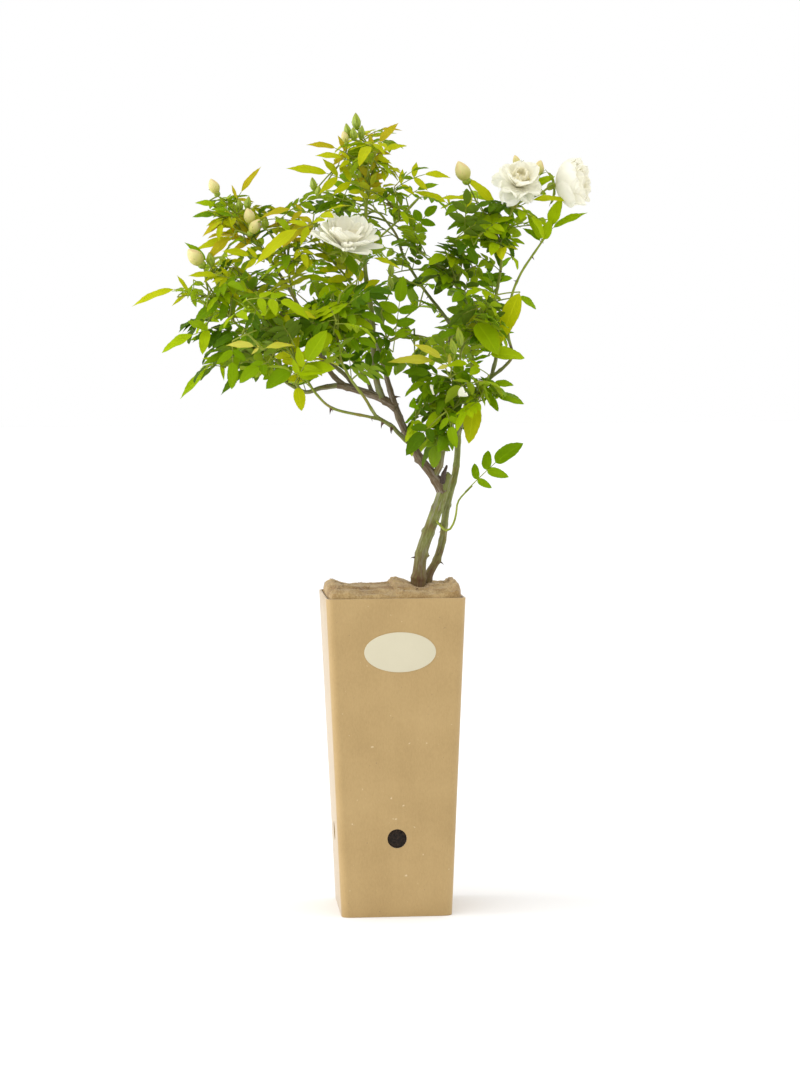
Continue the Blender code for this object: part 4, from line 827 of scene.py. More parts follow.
TINTS = {
    "deep": dict(blade=(0.060, 0.135, 0.0006), light=(0.130, 0.235, 0.0012), under=(0.16, 0.24, 0.018),
                 edge=(0.080, 0.145, 0.001), through=(0.24, 0.40, 0.002)),
    "mid": dict(blade=(0.155, 0.280, 0.0006), light=(0.275, 0.410, 0.0013), under=(0.24, 0.34, 0.020),
                edge=(0.180, 0.270, 0.001), through=(0.44, 0.64, 0.003)),
    "fresh": dict(blade=(0.290, 0.415, 0.0006), light=(0.415, 0.525, 0.0015), under=(0.34, 0.43, 0.022),
                  edge=(0.340, 0.385, 0.002), through=(0.64, 0.80, 0.004)),
    "lime": dict(blade=(0.395, 0.465, 0.001), light=(0.530, 0.565, 0.007), under=(0.44, 0.49, 0.028),
                 edge=(0.520, 0.410, 0.008), through=(0.84, 0.84, 0.008)),
    "bronze": dict(blade=(0.420, 0.415, 0.008), light=(0.500, 0.480, 0.018), under=(0.46, 0.44, 0.035),
                   edge=(0.540, 0.270, 0.025), through=(0.88, 0.70, 0.015)),
    "pale": dict(blade=(0.540, 0.550, 0.045), light=(0.640, 0.630, 0.120), under=(0.56, 0.57, 0.12),
                 edge=(0.540, 0.400, 0.040), through=(0.92, 0.86, 0.08)),
}


def leaf_blade(tint):
    """A leaf's skin: blade.x runs along the rib, blade.y out to the margins, blade.z is up or down."""
    tone = TINTS[tint]
    look = Finish("leaf " + tint)
    along, out, side = look.split(look.attribute("blade"))
    own = look.attribute("tone", "Fac")
    spread = look.maths("ABSOLUTE", out)
    cloud = look.noise(60.0, 2.0)
    mottle = look.noise(320.0, 3.0, 0.6)
    rib = 1.0 - look.clamp(spread, 0.02, 0.10)
    wave = look.maths("SINE", (along * 8.0 - spread * 1.6 + mottle * 0.15) * (2 * math.pi))
    vein = look.clamp(wave, 0.75, 1.0) * look.clamp(spread, 0.0, 0.2)
    margin = look.clamp(spread * 0.75 + along * 0.45 + (mottle - 0.5) * 0.8, 0.72, 1.15)
    base = look.mix(look.clamp(cloud * 0.35 + mottle * 0.25 + own * 0.7, 0.30, 0.95), tone["blade"],
                    tone["light"])
    base = look.coat(base, (margin * 0.7, tone["edge"]), (rib * 0.40 + vein * 0.14, tuple(
        min(1.0, part * 1.35 + 0.01) for part in tone["light"])))
    under = look.mix(rib * 0.5, tone["under"], tone["light"])
    return look.finish(look.mix(look.clamp(side, -0.02, 0.02), under, base), 0.46 + mottle * 0.10,
                       vein * -0.5 - rib * 0.8 + mottle * 0.3, 0.35, 0.0005,
                       through=tone["through"], share=0.42, Specular_IOR_Level=0.08)


def petal_skin():
    """White petals: petal.x runs from the claw to the rim, petal.y across."""
    look = Finish("petal")
    along, out, heart = look.split(look.attribute("petal"))
    fan = look.noise(1.0, place=look.combine(out * 9.0, along * 0.8, heart))
    white = look.mix(look.noise(120.0, 2.0), (0.975, 0.97, 0.91), (0.99, 0.985, 0.95))
    warm = 1.0 - look.clamp(along + (fan - 0.5) * 0.35, 0.02, 0.36)
    colour = look.coat(white, (warm * 0.55, (0.86, 0.80, 0.40)),
                       (heart * (1.0 - look.clamp(along, 0.3, 1.0) * 0.3), (0.93, 0.83, 0.42)))
    return look.finish(colour, 0.62, fan, 0.12, 0.0005, through=(1.0, 0.99, 0.92), share=0.64,
                       Specular_IOR_Level=0.25)


def bud_petal():
    look = Finish("bud petal")
    along, out, heart = look.split(look.attribute("petal"))
    spiral = look.noise(1.0, place=look.combine(out * 4.0, along * 2.0, heart))
    colour = look.mix(look.clamp(along + (spiral - 0.5) * 0.4, 0.1, 0.9), (0.56, 0.54, 0.11),
                      (0.80, 0.73, 0.33))
    flush = look.clamp(spiral + along * 0.35, 0.62, 0.92)
    return look.finish(look.mix(flush * 0.55, colour, (0.74, 0.46, 0.20)), 0.55, spiral, 0.25, 0.0006,
                       through=(0.80, 0.74, 0.34), share=0.2)


def sepal_skin():
    look = Finish("sepal")
    along, out, heart = look.split(look.attribute("petal"))
    ribs = look.noise(1.0, place=look.combine(out * 7.0, along * 1.2, heart))
    colour = look.mix(look.clamp(ribs, 0.3, 0.7), (0.15, 0.23, 0.004), (0.34, 0.42, 0.014))
    colour = look.mix(look.clamp(along, 0.7, 1.0) * 0.4, colour, (0.30, 0.24, 0.020))
    return look.finish(colour, 0.5, ribs, 0.3, 0.0005)


def pollen():
    look = Finish("pollen")
    grain = look.noise(2400.0, 2.0, 0.6)
    return look.finish(look.mix(grain, (0.56, 0.25, 0.025), (0.80, 0.50, 0.08)), 0.75, grain, 0.5, 0.0003)


def floor_board():
    look = Finish("floor")
    return look.finish(look.mix(look.noise(3.0, 2.0), (0.86, 0.86, 0.86), (0.88, 0.88, 0.88)), 0.9)


# Meshes


def thing_from(name, mesh):
    thing = bpy.data.objects.new(name, mesh)
    bpy.context.scene.collection.objects.link(thing)
    return thing


def write_attributes(mesh, kinds, rows):
    """Store the columns of rows, one row for each point, under their names."""
    for (name, kind), column in zip(kinds.items(), zip(*rows)):
        layer = mesh.attributes.new(name, kind, "POINT")
        flat = np.array(column, dtype=np.float32).ravel()
        layer.data.foreach_set("vector" if kind == "FLOAT_VECTOR" else "value", flat)


def smooth(mesh, degrees):
    mesh.shade_smooth()
    mesh.set_sharp_from_angle(angle=math.radians(degrees))


def shaped(name, points, faces, finish, sharp, kinds=None, rows=()):
    """A thing with its finish, from points in millimetres, its faces turned outwards."""
    mesh = bpy.data.meshes.new(name)
    mesh.from_pydata([Vector(p) * MM for p in points], [], faces)
    shape = bmesh.new()
    shape.from_mesh(mesh)
    bmesh.ops.recalc_face_normals(shape, faces=shape.faces)
    shape.to_mesh(mesh)
    shape.free()
    write_attributes(mesh, kinds or {}, rows)
    smooth(mesh, sharp)
    mesh.materials.append(finish)
    return thing_from(name, mesh)


def bake(thing):
    """Put the evaluated mesh in the object's place and drop its modifiers."""
    graph = bpy.context.evaluated_depsgraph_get()
    result = bpy.data.meshes.new_from_object(thing.evaluated_get(graph), depsgraph=graph)
    result.name = thing.name
    thing.modifiers.clear()
    thing.data = result


def carry(thing, material_slot, *nodes):
    """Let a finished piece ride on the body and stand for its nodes."""
    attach(thing, BODY)
    if nodes:
        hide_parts(*nodes)


def ring_faces(first, rings, sides):
    """The faces between rings of points that follow one another."""
    faces = []
    for low in range(first, first + (rings - 1) * sides, sides):
        for j in range(sides):
            after = (j + 1) % sides
            faces.append((low + j, low + after, low + sides + after, low + sides + j))
    return faces


def fan_faces(first, sides, pole, turned):
    """The faces that close a ring at a pole."""
    faces = [(first + j, first + (j + 1) % sides, pole) for j in range(sides)]
    return [face[::-1] for face in faces] if turned else faces


def sheet_faces(first, rows, columns):
    """The faces of a thin closed body: a grid of points, its twin behind it, and the rim between them."""
    wide = columns + 1
    count = (rows + 1) * wide
    faces = []
    for row in range(rows):
        for column in range(columns):
            a = first + row * wide + column
            faces.append((a, a + 1, a + wide + 1, a + wide))
            faces.append((a + count, a + count + wide, a + count + wide + 1, a + count + 1))
    rim = list(range(columns))
    rim += [row * wide + columns for row in range(rows)]
    rim += [rows * wide + column for column in range(columns, 0, -1)]
    rim += [row * wide for row in range(rows, 0, -1)]
    for start, end in zip(rim, rim[1:] + rim[:1]):
        a = first + start
        b = first + end
        faces.append((a, a + count, b + count, b))
    return faces


def loft(name, rings, finish, sharp):
    """A closed body through rings of equal count, capped at both ends."""
    count = len(rings[0])
    top = (len(rings) - 1) * count
    faces = [tuple(reversed(range(count))), *ring_faces(0, len(rings), count), tuple(range(top, top + count))]
    return shaped(name, [p for ring in rings for p in ring], faces, finish, sharp)


# Camera


def eye_axes():
    """Right, up and ahead of the camera."""
    across = Vector((math.cos(EYE_YAW), -math.sin(EYE_YAW), 0.0))
    ahead = Vector((math.sin(EYE_YAW) * math.cos(EYE_PITCH), math.cos(EYE_YAW) * math.cos(EYE_PITCH),
                    -math.sin(EYE_PITCH)))
    above = across.cross(ahead)
    right = across * math.cos(EYE_ROLL) + above * math.sin(EYE_ROLL)
    up = above * math.cos(EYE_ROLL) - across * math.sin(EYE_ROLL)
    return right, up, ahead


EYE_RIGHT, EYE_UP, EYE_AHEAD = eye_axes()


def seen(pixel, depth):
    """The point at a depth along Y that shows at a pixel of the picture."""
    ray = (EYE_AHEAD + EYE_RIGHT * ((pixel[0] - PICTURE_WIDTH / 2) / FOCAL)
           - EYE_UP * ((pixel[1] - PICTURE_HEIGHT / 2) / FOCAL))
    return EYE + ray * ((depth - EYE.y) / ray.y)


def pixel_of(point):
    """Where a point shows in the picture."""
    ray = Vector(point) - EYE
    far = ray.dot(EYE_AHEAD)
    return (PICTURE_WIDTH / 2 + FOCAL * ray.dot(EYE_RIGHT) / far,
            PICTURE_HEIGHT / 2 - FOCAL * ray.dot(EYE_UP) / far)


def build_camera():
    lens = bpy.data.cameras.new("camera")
    lens.sensor_fit = "AUTO"
    lens.sensor_width = SENSOR
    lens.lens = SENSOR * FOCAL / PICTURE_HEIGHT
    lens.clip_start = CLIP_NEAR
    lens.clip_end = CLIP_FAR
    camera = thing_from("camera", lens)
    turn = Matrix((EYE_RIGHT, EYE_UP, -EYE_AHEAD)).transposed().to_4x4()
    camera.matrix_world = Matrix.Translation(EYE * MM) @ turn
    bpy.context.scene.camera = camera


# Pot, root ball, paper and label


def pot_half_width(height):
    """Half the pot's outer width at a height."""
    return 0.5 * (POT_FOOT_WIDTH + (POT_TOP_WIDTH - POT_FOOT_WIDTH) * height / POT_HEIGHT)


def rounded_square(half, corner, height):
    """Points of a square ring with round corners, anticlockwise seen from above."""
    ring = []
    for quarter in range(4):
        turn = math.radians(90 * quarter)
        for step in range(CORNER_STEPS + 1):
            angle = math.radians(90.0 * step / CORNER_STEPS)
            x = half - corner + corner * math.cos(angle)
            y = half - corner + corner * math.sin(angle)
            ring.append((x * math.cos(turn) - y * math.sin(turn),
                         x * math.sin(turn) + y * math.cos(turn), height))
    return ring


def build_pot():
    """The tapered shell with softened edges, its flat floor and a round hole low on each face."""
    foot = pot_half_width(0)
    top = pot_half_width(POT_HEIGHT)
    inner = POT_CORNER - POT_WALL
    edge = POT_EDGE
    bevel = 0.3 * edge
    rings = [(foot - edge, POT_CORNER - edge, 0), (foot - bevel, POT_CORNER - bevel, bevel)]
    for k in range(POT_RINGS + 1):
        height = edge + (POT_HEIGHT - 2 * edge) * k / POT_RINGS
        rings.append((pot_half_width(height), POT_CORNER, height))
    rings += [(top - bevel, POT_CORNER - bevel, POT_HEIGHT - bevel),
              (top - edge, POT_CORNER - edge, POT_HEIGHT),
              (top - POT_WALL + edge, inner + edge, POT_HEIGHT),
              (top - POT_WALL, inner, POT_HEIGHT - edge),
              (pot_half_width(POT_FLOOR) - POT_WALL, inner, POT_FLOOR)]
    board = kraft_board()
    pot = loft("kraft_pot", [rounded_square(*ring) for ring in rings], board, POT_SHARP)
    cutters = []
    for turn in (0, 90):
        bpy.ops.mesh.primitive_cylinder_add(
            vertices=HOLE_SIDES, radius=0.5 * HOLE_DIAMETER * MM, depth=2 * POT_TOP_WIDTH * MM,
            location=(0, 0, HOLE_HEIGHT * MM), rotation=(math.radians(90), 0, math.radians(turn)))
        cutters.append(bpy.context.active_object)
        change = pot.modifiers.new("hole", "BOOLEAN")
        change.operation = "DIFFERENCE"
        change.solver = "EXACT"
        change.object = cutters[-1]
    bake(pot)
    for cutter in cutters:
        bpy.data.objects.remove(cutter)
    smooth(pot.data, POT_SHARP)
    pot.data.materials.clear()
    pot.data.materials.append(board)
    carry(pot, "kraft", "pot")


def finish_soil():
    """The root ball keeps its shape and gets its finish."""
    soil = frame["nodes"]["root_ball"]
    soil.data.materials.clear()
    soil.data.materials.append(potting_soil())


def paper_crest(x):
    """The height of the paper's highest fold across the pot."""
    for (left, low), (right, high) in zip(PAPER_CREST, PAPER_CREST[1:]):
        if x <= right:
            share = max(0.0, (x - left) / (right - left))
            return low + (high - low) * share
    return PAPER_CREST[-1][1]


def paper_height(x, y, half):
    """The top of the torn paper: one crumpled crest across the pot that falls to the front and back."""
    wander = 5.0 * math.sin(x * 0.09 + 1.0) + 3.0 * math.sin(x * 0.23)
    away = abs(y - wander) / half
    dome = 1 / (1 + (1.25 * away) ** 3)
    folds = math.sin(y * 0.31 + 1.6 * math.sin(x * 0.12) + 0.8) * 1.1 * min(1.0, away * 2.5)
    crease = 0.0
    size = 1.0
    for pitch in PAPER_PITCHES:
        rough = noise.noise(Vector((x * pitch, y * pitch * 1.3, 3.7 * pitch)))
        crease += size * (0.6 - 2.4 * abs(rough))
        size *= 0.5
    crest = (paper_crest(x) - PAPER_EDGE) * dome
    return PAPER_EDGE + crest + folds + 0.8 * crease * min(1.0, 0.35 + away * 2)


def build_paper():
    """A crumpled pad of torn paper that fills the pot's mouth, tucked down at the walls, and its shreds."""
    half = pot_half_width(PAPER_FOOT) - POT_WALL - GAP
    corner = POT_CORNER - POT_WALL
    points = []
    for row in range(PAPER_CELLS + 1):
        for column in range(PAPER_CELLS + 1):
            u = 2 * column / PAPER_CELLS - 1
            v = 2 * row / PAPER_CELLS - 1
            # A square grid drawn in at its corners to the pot's round corners.
            pull = 1 - (corner / half) * 0.5 * abs(u * v) ** 6
            x = half * u * pull
            y = half * v * pull
            edge = min(half - abs(half * u), half - abs(half * v))
            tuck = PAPER_TUCK_DEPTH * max(0.0, 1 - edge / PAPER_TUCK) ** 2
            points.append((x, y, max(PAPER_FOOT + 1.0, paper_height(x, y, half) - tuck)))
    points += [(x, y, PAPER_FOOT) for x, y, z in points]
    paper = shaped("crumpled_paper", points, sheet_faces(0, PAPER_CELLS, PAPER_CELLS), torn_paper(), 40)
    carry(paper, "torn_paper", "packing_paper")
    shreds = thing_from("paper_shreds", paper.data.copy())
    run_tree(shreds, shred_tree(), Finish=paper.data.materials[0])
    carry(shreds, "torn_paper")


def build_label():
    """A bare oval label on the front face, lying along its slope, its edge a little rounded."""
    slope = math.atan2(pot_half_width(POT_HEIGHT) - pot_half_width(0), POT_HEIGHT)
    turn = Euler((math.radians(90) + slope, 0, 0)).to_matrix()
    spot = Vector((LABEL_ACROSS, -pot_half_width(LABEL_LEVEL) - LABEL_CLEAR, LABEL_LEVEL))
    rings = []
    for share, rise in ((1.0, 0.0), (1.0, 0.6), (0.994, 0.9), (0.985, 1.0)):
        angles = [2 * math.pi * k / LABEL_SIDES for k in range(LABEL_SIDES)]
        rings.append([spot + turn @ Vector((0.5 * LABEL_WIDTH * share * math.cos(angle),
                                            0.5 * LABEL_HEIGHT * share * math.sin(angle),
                                            rise * LABEL_THICKNESS)) for angle in angles])
    carry(loft("oval_label", rings, label_paper(), 50), "label", "label")


# Geometry trees

SOCKETS = {int: "NodeSocketInt", float: "NodeSocketFloat", type(None): "NodeSocketMaterial"}


def open_tree(name, **sizes):
    """A geometry tree with named inputs for its sizes, and those inputs as values."""
    nodes = bpy.data.node_groups.new(name, "GeometryNodeTree")
    nodes.interface.new_socket("Geometry", in_out="INPUT", socket_type="NodeSocketGeometry")
    for key, value in (*sizes.items(), ("Finish", None)):
        made = nodes.interface.new_socket(key, in_out="INPUT", socket_type=SOCKETS[type(value)])
        if value is not None:
            made.default_value = value
    nodes.interface.new_socket("Geometry", in_out="OUTPUT", socket_type="NodeSocketGeometry")
    tree = Tree(nodes)
    given = tree.add("NodeGroupInput")
    return tree, {s.name: Value(tree, s) for s in given.socket.node.outputs if s.name}


def named(tree, name, kind="FLOAT"):
    """A value that the points carry under a name."""
    return tree.add("GeometryNodeInputNamedAttribute", {"data_type": kind}, {"Name": name})


def marked(tree, geometry, name, kind, value):
    """The geometry with a value stored on its points under a name."""
    return tree.add("GeometryNodeStoreNamedAttribute", {"data_type": kind, "domain": "POINT"}, {
        "Geometry": geometry, "Name": name, "Value": value})


def set_on_points(tree, points, shape, turn=None, size=None):
    """The shape set on every point and made real."""
    sockets = {"Points": points, "Instance": shape}
    if turn is not None:
        sockets["Rotation"] = tree.add("FunctionNodeEulerToRotation", None, {0: turn})
        sockets["Scale"] = size
    return tree.add("GeometryNodeRealizeInstances", None, {
        "Geometry": tree.add("GeometryNodeInstanceOnPoints", None, sockets)})


def end_tree(tree, inputs, geometry):
    done = tree.add("GeometryNodeSetMaterial", None, {"Geometry": geometry, "Material": inputs["Finish"]})
    tree.add("NodeGroupOutput", None, {"Geometry": done})
    return tree.tree


def run_tree(thing, nodes, **inputs):
    """Run a geometry tree on an object with named inputs and keep its result as a plain mesh."""
    change = thing.modifiers.new("grown", "NODES")
    change.node_group = nodes
    for socket in nodes.interface.items_tree:
        if socket.item_type == "SOCKET" and socket.in_out == "INPUT" and socket.name in inputs:
            change[socket.identifier] = inputs[socket.name]
    bake(thing)


def grow_on_points(name, places, kinds, rows, nodes, finish):
    """A piece made by a tree on points that carry the named rows."""
    mesh = bpy.data.meshes.new(name)
    mesh.from_pydata([p * MM for p in places], [], [])
    write_attributes(mesh, kinds, rows)
    thing = thing_from(name, mesh)
    run_tree(thing, nodes, Finish=finish)
    smooth(thing.data, 70)
    return thing


def shred_tree():
    """Torn shreds of paper strewn over a surface, each a thin bent strip."""
    tree, inputs = open_tree("paper shreds", Density=5200.0, Length=0.0040, Width=0.0015, Thickness=0.00018)
    strip = tree.add("GeometryNodeMeshCube", None, {
        "Size": tree.combine(inputs["Length"], inputs["Width"], inputs["Thickness"]),
        "Vertices X": 6, "Vertices Y": 2, "Vertices Z": 2})
    x, y, z = tree.split(tree.add("GeometryNodeInputPosition"))
    share = x / inputs["Length"]
    lift = share * share * inputs["Length"] * 0.7
    ragged = tree.add("ShaderNodeTexNoise", None, {"Scale": 1800.0})
    breadth = (1.0 - share * share * 1.8) * (ragged + 0.5)
    strip = tree.add("GeometryNodeSetPosition", None, {
        "Geometry": strip, "Position": tree.combine(x, y * breadth, z + lift)})
    up = tree.split(tree.add("GeometryNodeInputNormal"))[2]
    chosen = tree.add("FunctionNodeCompare", {"operation": "GREATER_THAN"}, {0: up, 1: 0.45})
    spread = tree.add("GeometryNodeDistributePointsOnFaces", {"distribute_method": "RANDOM"}, {
        "Mesh": inputs["Geometry"], "Selection": chosen, "Density": inputs["Density"], "Seed": 5})
    turn = tree.add("FunctionNodeRandomValue", {"data_type": "FLOAT_VECTOR"}, {
        "Min": (-0.2, -0.2, 0.0), "Max": (0.2, 0.2, 6.283), "Seed": 8})
    size = tree.add("FunctionNodeRandomValue", {"data_type": "FLOAT"}, {
        "Min_001": 0.4, "Max_001": 1.2, "Seed": 9}, 1)
    return end_tree(tree, inputs, set_on_points(tree, spread, strip, turn, size))


TURNED_ROWS = {"turn": "FLOAT_VECTOR", "size": "FLOAT"}


def turned_on_points(tree, inputs, shape):
    """The shape set on the points, each turned and sized as its point says."""
    return end_tree(tree, inputs, set_on_points(tree, inputs["Geometry"], shape,
                                                named(tree, "turn", "FLOAT_VECTOR"), named(tree, "size")))


def stamen_tree():
    """A fine stalk with a grain of pollen at its tip on every point."""
    tree, inputs = open_tree("stamens", Height=0.0036, Grain=0.00055)
    stalk = tree.add("GeometryNodeMeshCone", None, {
        "Vertices": 5, "Side Segments": 1, "Radius Top": inputs["Grain"] * 0.22,
        "Radius Bottom": inputs["Grain"] * 0.35, "Depth": inputs["Height"]})
    grain = tree.add("GeometryNodeMeshIcoSphere", None, {"Radius": inputs["Grain"], "Subdivisions": 2})
    grain = tree.add("GeometryNodeTransform", None, {
        "Geometry": grain, "Translation": tree.combine(0.0, 0.0, inputs["Height"]), "Scale": (1.0, 0.7, 1.3)})
    both = tree.add("GeometryNodeJoinGeometry", None, {0: stalk})
    tree.feed(both.socket.node.inputs[0], grain)
    return turned_on_points(tree, inputs, both)


def prickle_tree():
    """A hooked horn on every point, leaning as the point says."""
    tree, inputs = open_tree("prickles", Length=0.0040, Foot=0.0013, Hook=0.28)
    horn = tree.add("GeometryNodeMeshCone", None, {
        "Vertices": 10, "Side Segments": 6, "Radius Top": 0.00006, "Radius Bottom": inputs["Foot"],
        "Depth": inputs["Length"]})
    x, y, z = tree.split(tree.add("GeometryNodeInputPosition"))
    share = z / inputs["Length"]
    slim = 1.0 - share * (1.0 - share) * 1.1
    horn = tree.add("GeometryNodeSetPosition", None, {"Geometry": horn, "Position": tree.combine(
        x * slim + share * share * inputs["Length"] * inputs["Hook"], y * slim * 0.7, z)})
    return turned_on_points(tree, inputs, marked(tree, horn, "reach", "FLOAT", share))


def leaflet_tree():
    """A toothed, folded leaflet on every point, laid out along the point's own three directions."""
    tree, inputs = open_tree("leaflets", Rings=LEAFLET_RINGS, Sides=LEAFLET_SIDES, Thickness=BLADE_THICKNESS,
                             Fold=BLADE_FOLD, Tooth=TOOTH_DEPTH)
    ball = tree.add("GeometryNodeMeshUVSphere", None, {
        "Segments": inputs["Sides"], "Rings": inputs["Rings"], "Radius": 1.0})
    x, y, z = tree.split(tree.add("GeometryNodeInputPosition"))
    turn = tree.maths("ARCCOSINE", tree.maths("MINIMUM", tree.maths("MAXIMUM", z, -1.0), 1.0))
    flat = tree.maths("MAXIMUM", tree.maths("SINE", turn), 0.0001)
    ball = marked(tree, ball, "blade", "FLOAT_VECTOR", tree.combine(turn / math.pi, x / flat * -1.0, y / flat))
    real = set_on_points(tree, inputs["Geometry"], ball)
    along, out, rise = tree.split(named(tree, "blade", "FLOAT_VECTOR"))
    margin = tree.maths("ABSOLUTE", out)
    # Every other ring is a tooth that leans to the tip. A wide leaflet is blunt, a narrow one pointed.
    gap = 1.0 - tree.maths("MODULO", tree.maths("ROUND", along * inputs["Rings"]), 2.0)
    blunt = tree.clamp(named(tree, "wide"), BLUNT_FROM, BLUNT_TO)
    body = tree.maths("MAXIMUM", tree.maths("SINE", (along ** 0.86) * math.pi), 0.0) ** (1.0 - blunt * 0.42)
    tooth = 1.0 - gap * inputs["Tooth"] * margin
    half = body * (1.0 - along * along * 0.16) * named(tree, "wide") * 0.5 * tooth
    ripple = tree.maths("SINE", along * 12.0 + named(tree, "tone") * 40.0 + out * 1.5)
    wave = ripple * margin * WAVE_HEIGHT
    height = (rise * inputs["Thickness"] * (body + 0.2) + margin * half * inputs["Fold"] * 2.0 + wave * body
              - named(tree, "bend") * along * along)
    place = named(tree, "base", "FLOAT_VECTOR")
    for direction, amount in (("ahead", along - gap * margin * 0.015), ("across", out * half), ("face", height)):
        place = tree.moved(place, named(tree, direction, "FLOAT_VECTOR"), amount * named(tree, "length"))
    laid = tree.add("GeometryNodeSetPosition", None, {"Geometry": real, "Position": place})
    return end_tree(tree, inputs, laid)


# Limbs


def smooth_line(bends, step):
    """Points about a step apart on a Catmull-Rom curve through the bends."""
    knots = [Vector(b) for b in bends]
    ends = [2 * knots[0] - knots[1]] + knots + [2 * knots[-1] - knots[-2]]
    line = [knots[0]]
    for k in range(1, len(ends) - 2):
        before, start, end, after = ends[k - 1:k + 3]
        parts = max(1, round((end - start).length / step))
        for part in range(1, parts + 1):
            t = part / parts
            line.append(0.5 * (2 * start + (end - before) * t
                               + (2 * before - 5 * start + 4 * end - after) * t ** 2
                               + (3 * start - before - 3 * end + after) * t ** 3))
    return line


def heading_at(line, k):
    """The direction of a line of points at point k."""
    return (line[min(k + 1, len(line) - 1)] - line[max(k - 1, 0)]).normalized()


def limb_line(name, step=LIMB_STEP):
    """The limb's centre line. One that follows another starts inside that one's tip."""
    limb = LIMBS[name]
    line = smooth_line(limb["bends"], step)
    if "follows" in limb:
        before = smooth_line(LIMBS[limb["follows"]]["bends"], step)
        line[0] = before[-1] - heading_at(before, len(before) - 1) * LIMB_OVERLAP
        line.insert(1, before[-1])
    return line


def travelled(line):
    """How far along the line each point lies."""
    steps = [0.0]
    for before, after in zip(line, line[1:]):
        steps.append(steps[-1] + (after - before).length)
    return steps


def limb_radii(name, line):
    """Radii that fall evenly from foot to tip, with a flare at the foot of a stem."""
    limb = LIMBS[name]
    steps = travelled(line)
    radii = []
    for step in steps:
        radius = limb["foot"] + (limb["tip"] - limb["foot"]) * step / steps[-1]
        if limb.get("flare"):
            radius *= 1 + (FLARE - 1) * max(0.0, 1 - step / FLARE_LENGTH) ** FLARE_CURVE
        elif "parent" in limb:
            radius *= 1 + COLLAR_RISE * math.exp(-step / COLLAR_LENGTH)
        radii.append(radius)
    return radii


class Body:
    """The points and faces of a piece, and what its finish reads at each point."""

    def __init__(self, **kinds):
        self.kinds = kinds
        self.points = []
        self.faces = []
        self.rows = []

    def dot(self, point, *row):
        self.points.append(point)
        self.rows.append(row)

    def thing(self, name, finish, sharp):
        return shaped(name, self.points, self.faces, finish, sharp, self.kinds, self.rows)


class Skin(Body):
    """Closed tubes with low domed ends."""

    def __init__(self):
        super().__init__(grain="FLOAT_VECTOR", age="FLOAT")

    def tube(self, line, radii, sides, age, relief=None, seed=0.0):
        """A tube along a line. relief gives the radius's share at an angle and a distance."""
        steps = travelled(line)
        heading = heading_at(line, 0)
        across = heading.orthogonal().normalized()
        first = len(self.points)
        for k, centre in enumerate(line):
            now = heading_at(line, k)
            across = (heading.rotation_difference(now) @ across).normalized()
            heading = now
            other = now.cross(across)
            own_age = age[0] + (age[1] - age[0]) * (steps[k] / max(steps[-1], 1e-6))
            for j in range(sides):
                angle = 2 * math.pi * j / sides
                radius = radii[k] * (relief(angle, steps[k]) if relief else 1.0)
                spoke = across * math.cos(angle) + other * math.sin(angle)
                grain = (math.cos(angle) * radii[k] * GRAIN_AROUND + seed,
                         math.sin(angle) * radii[k] * GRAIN_AROUND, steps[k] * GRAIN_ALONG)
                self.dot(centre + spoke * radius, grain, own_age)
        self.faces += ring_faces(first, len(line), sides)
        last = first + (len(line) - 1) * sides
        for ring, pole in ((first, line[0] - heading_at(line, 0) * radii[0] * DOME),
                           (last, line[-1] + heading * radii[-1] * DOME)):
            self.faces += fan_faces(ring, sides, len(self.points), ring == first)
            self.dot(pole, *self.rows[ring])


def bark_relief(name, length):
    """The bark's furrows, its lumps, and the swollen nodes with their eyes along a limb."""
    chance = random.Random(name)
    seed = chance.uniform(0, 100)
    age = LIMBS[name]["age"]
    nodes = []
    place = chance.uniform(5, NODE_SPACING)
    turn = chance.uniform(0, 2 * math.pi)
    while place < length - 4:
        nodes.append((place, turn))
        place += NODE_SPACING * chance.uniform(0.7, 1.3)
        turn += GOLDEN_ANGLE

    def relief(angle, step):
        x = math.cos(angle)
        y = math.sin(angle)
        rough = age[0] + (age[1] - age[0]) * step / length
        ridge = noise.noise(Vector((x * RIDGE_PITCH + seed, y * RIDGE_PITCH, step * RIDGE_STRETCH)))
        lump = noise.noise(Vector((x + seed, y, step * LUMP_PITCH)))
        share = 1 + RIDGE_DEPTH * (0.3 + rough) * ridge * 1.6 + LUMP_DEPTH * lump
        for spot, eye in nodes:
            away = (step - spot) / NODE_WIDTH
            if abs(away) < 3:
                swell = math.exp(-away * away)
                side = max(0.0, math.cos(angle - eye)) ** 6
                share += NODE_RISE * swell + EYE_RISE * side * math.exp(-((step - spot) / EYE_WIDTH) ** 2)
        return share
    return relief


def build_limbs(finish):
    """Each limb with its bark's relief, its foot sunk in the limb that bears it."""
    for name, limb in LIMBS.items():
        line = limb_line(name, BARK_STEP)
        relief = bark_relief(name, travelled(line)[-1])
        radii = [radius * min(BARK_SWELL, SLIM_FROM + SLIM_RISE * radius)
                 for radius in limb_radii(name, line)]
        skin = Skin()
        skin.tube(line, radii, limb["sides"], limb["age"], relief, seed=len(name) * 3.1)
        carry(skin.thing(name + "_bark", finish, LIMB_SHARP), "bark", name)


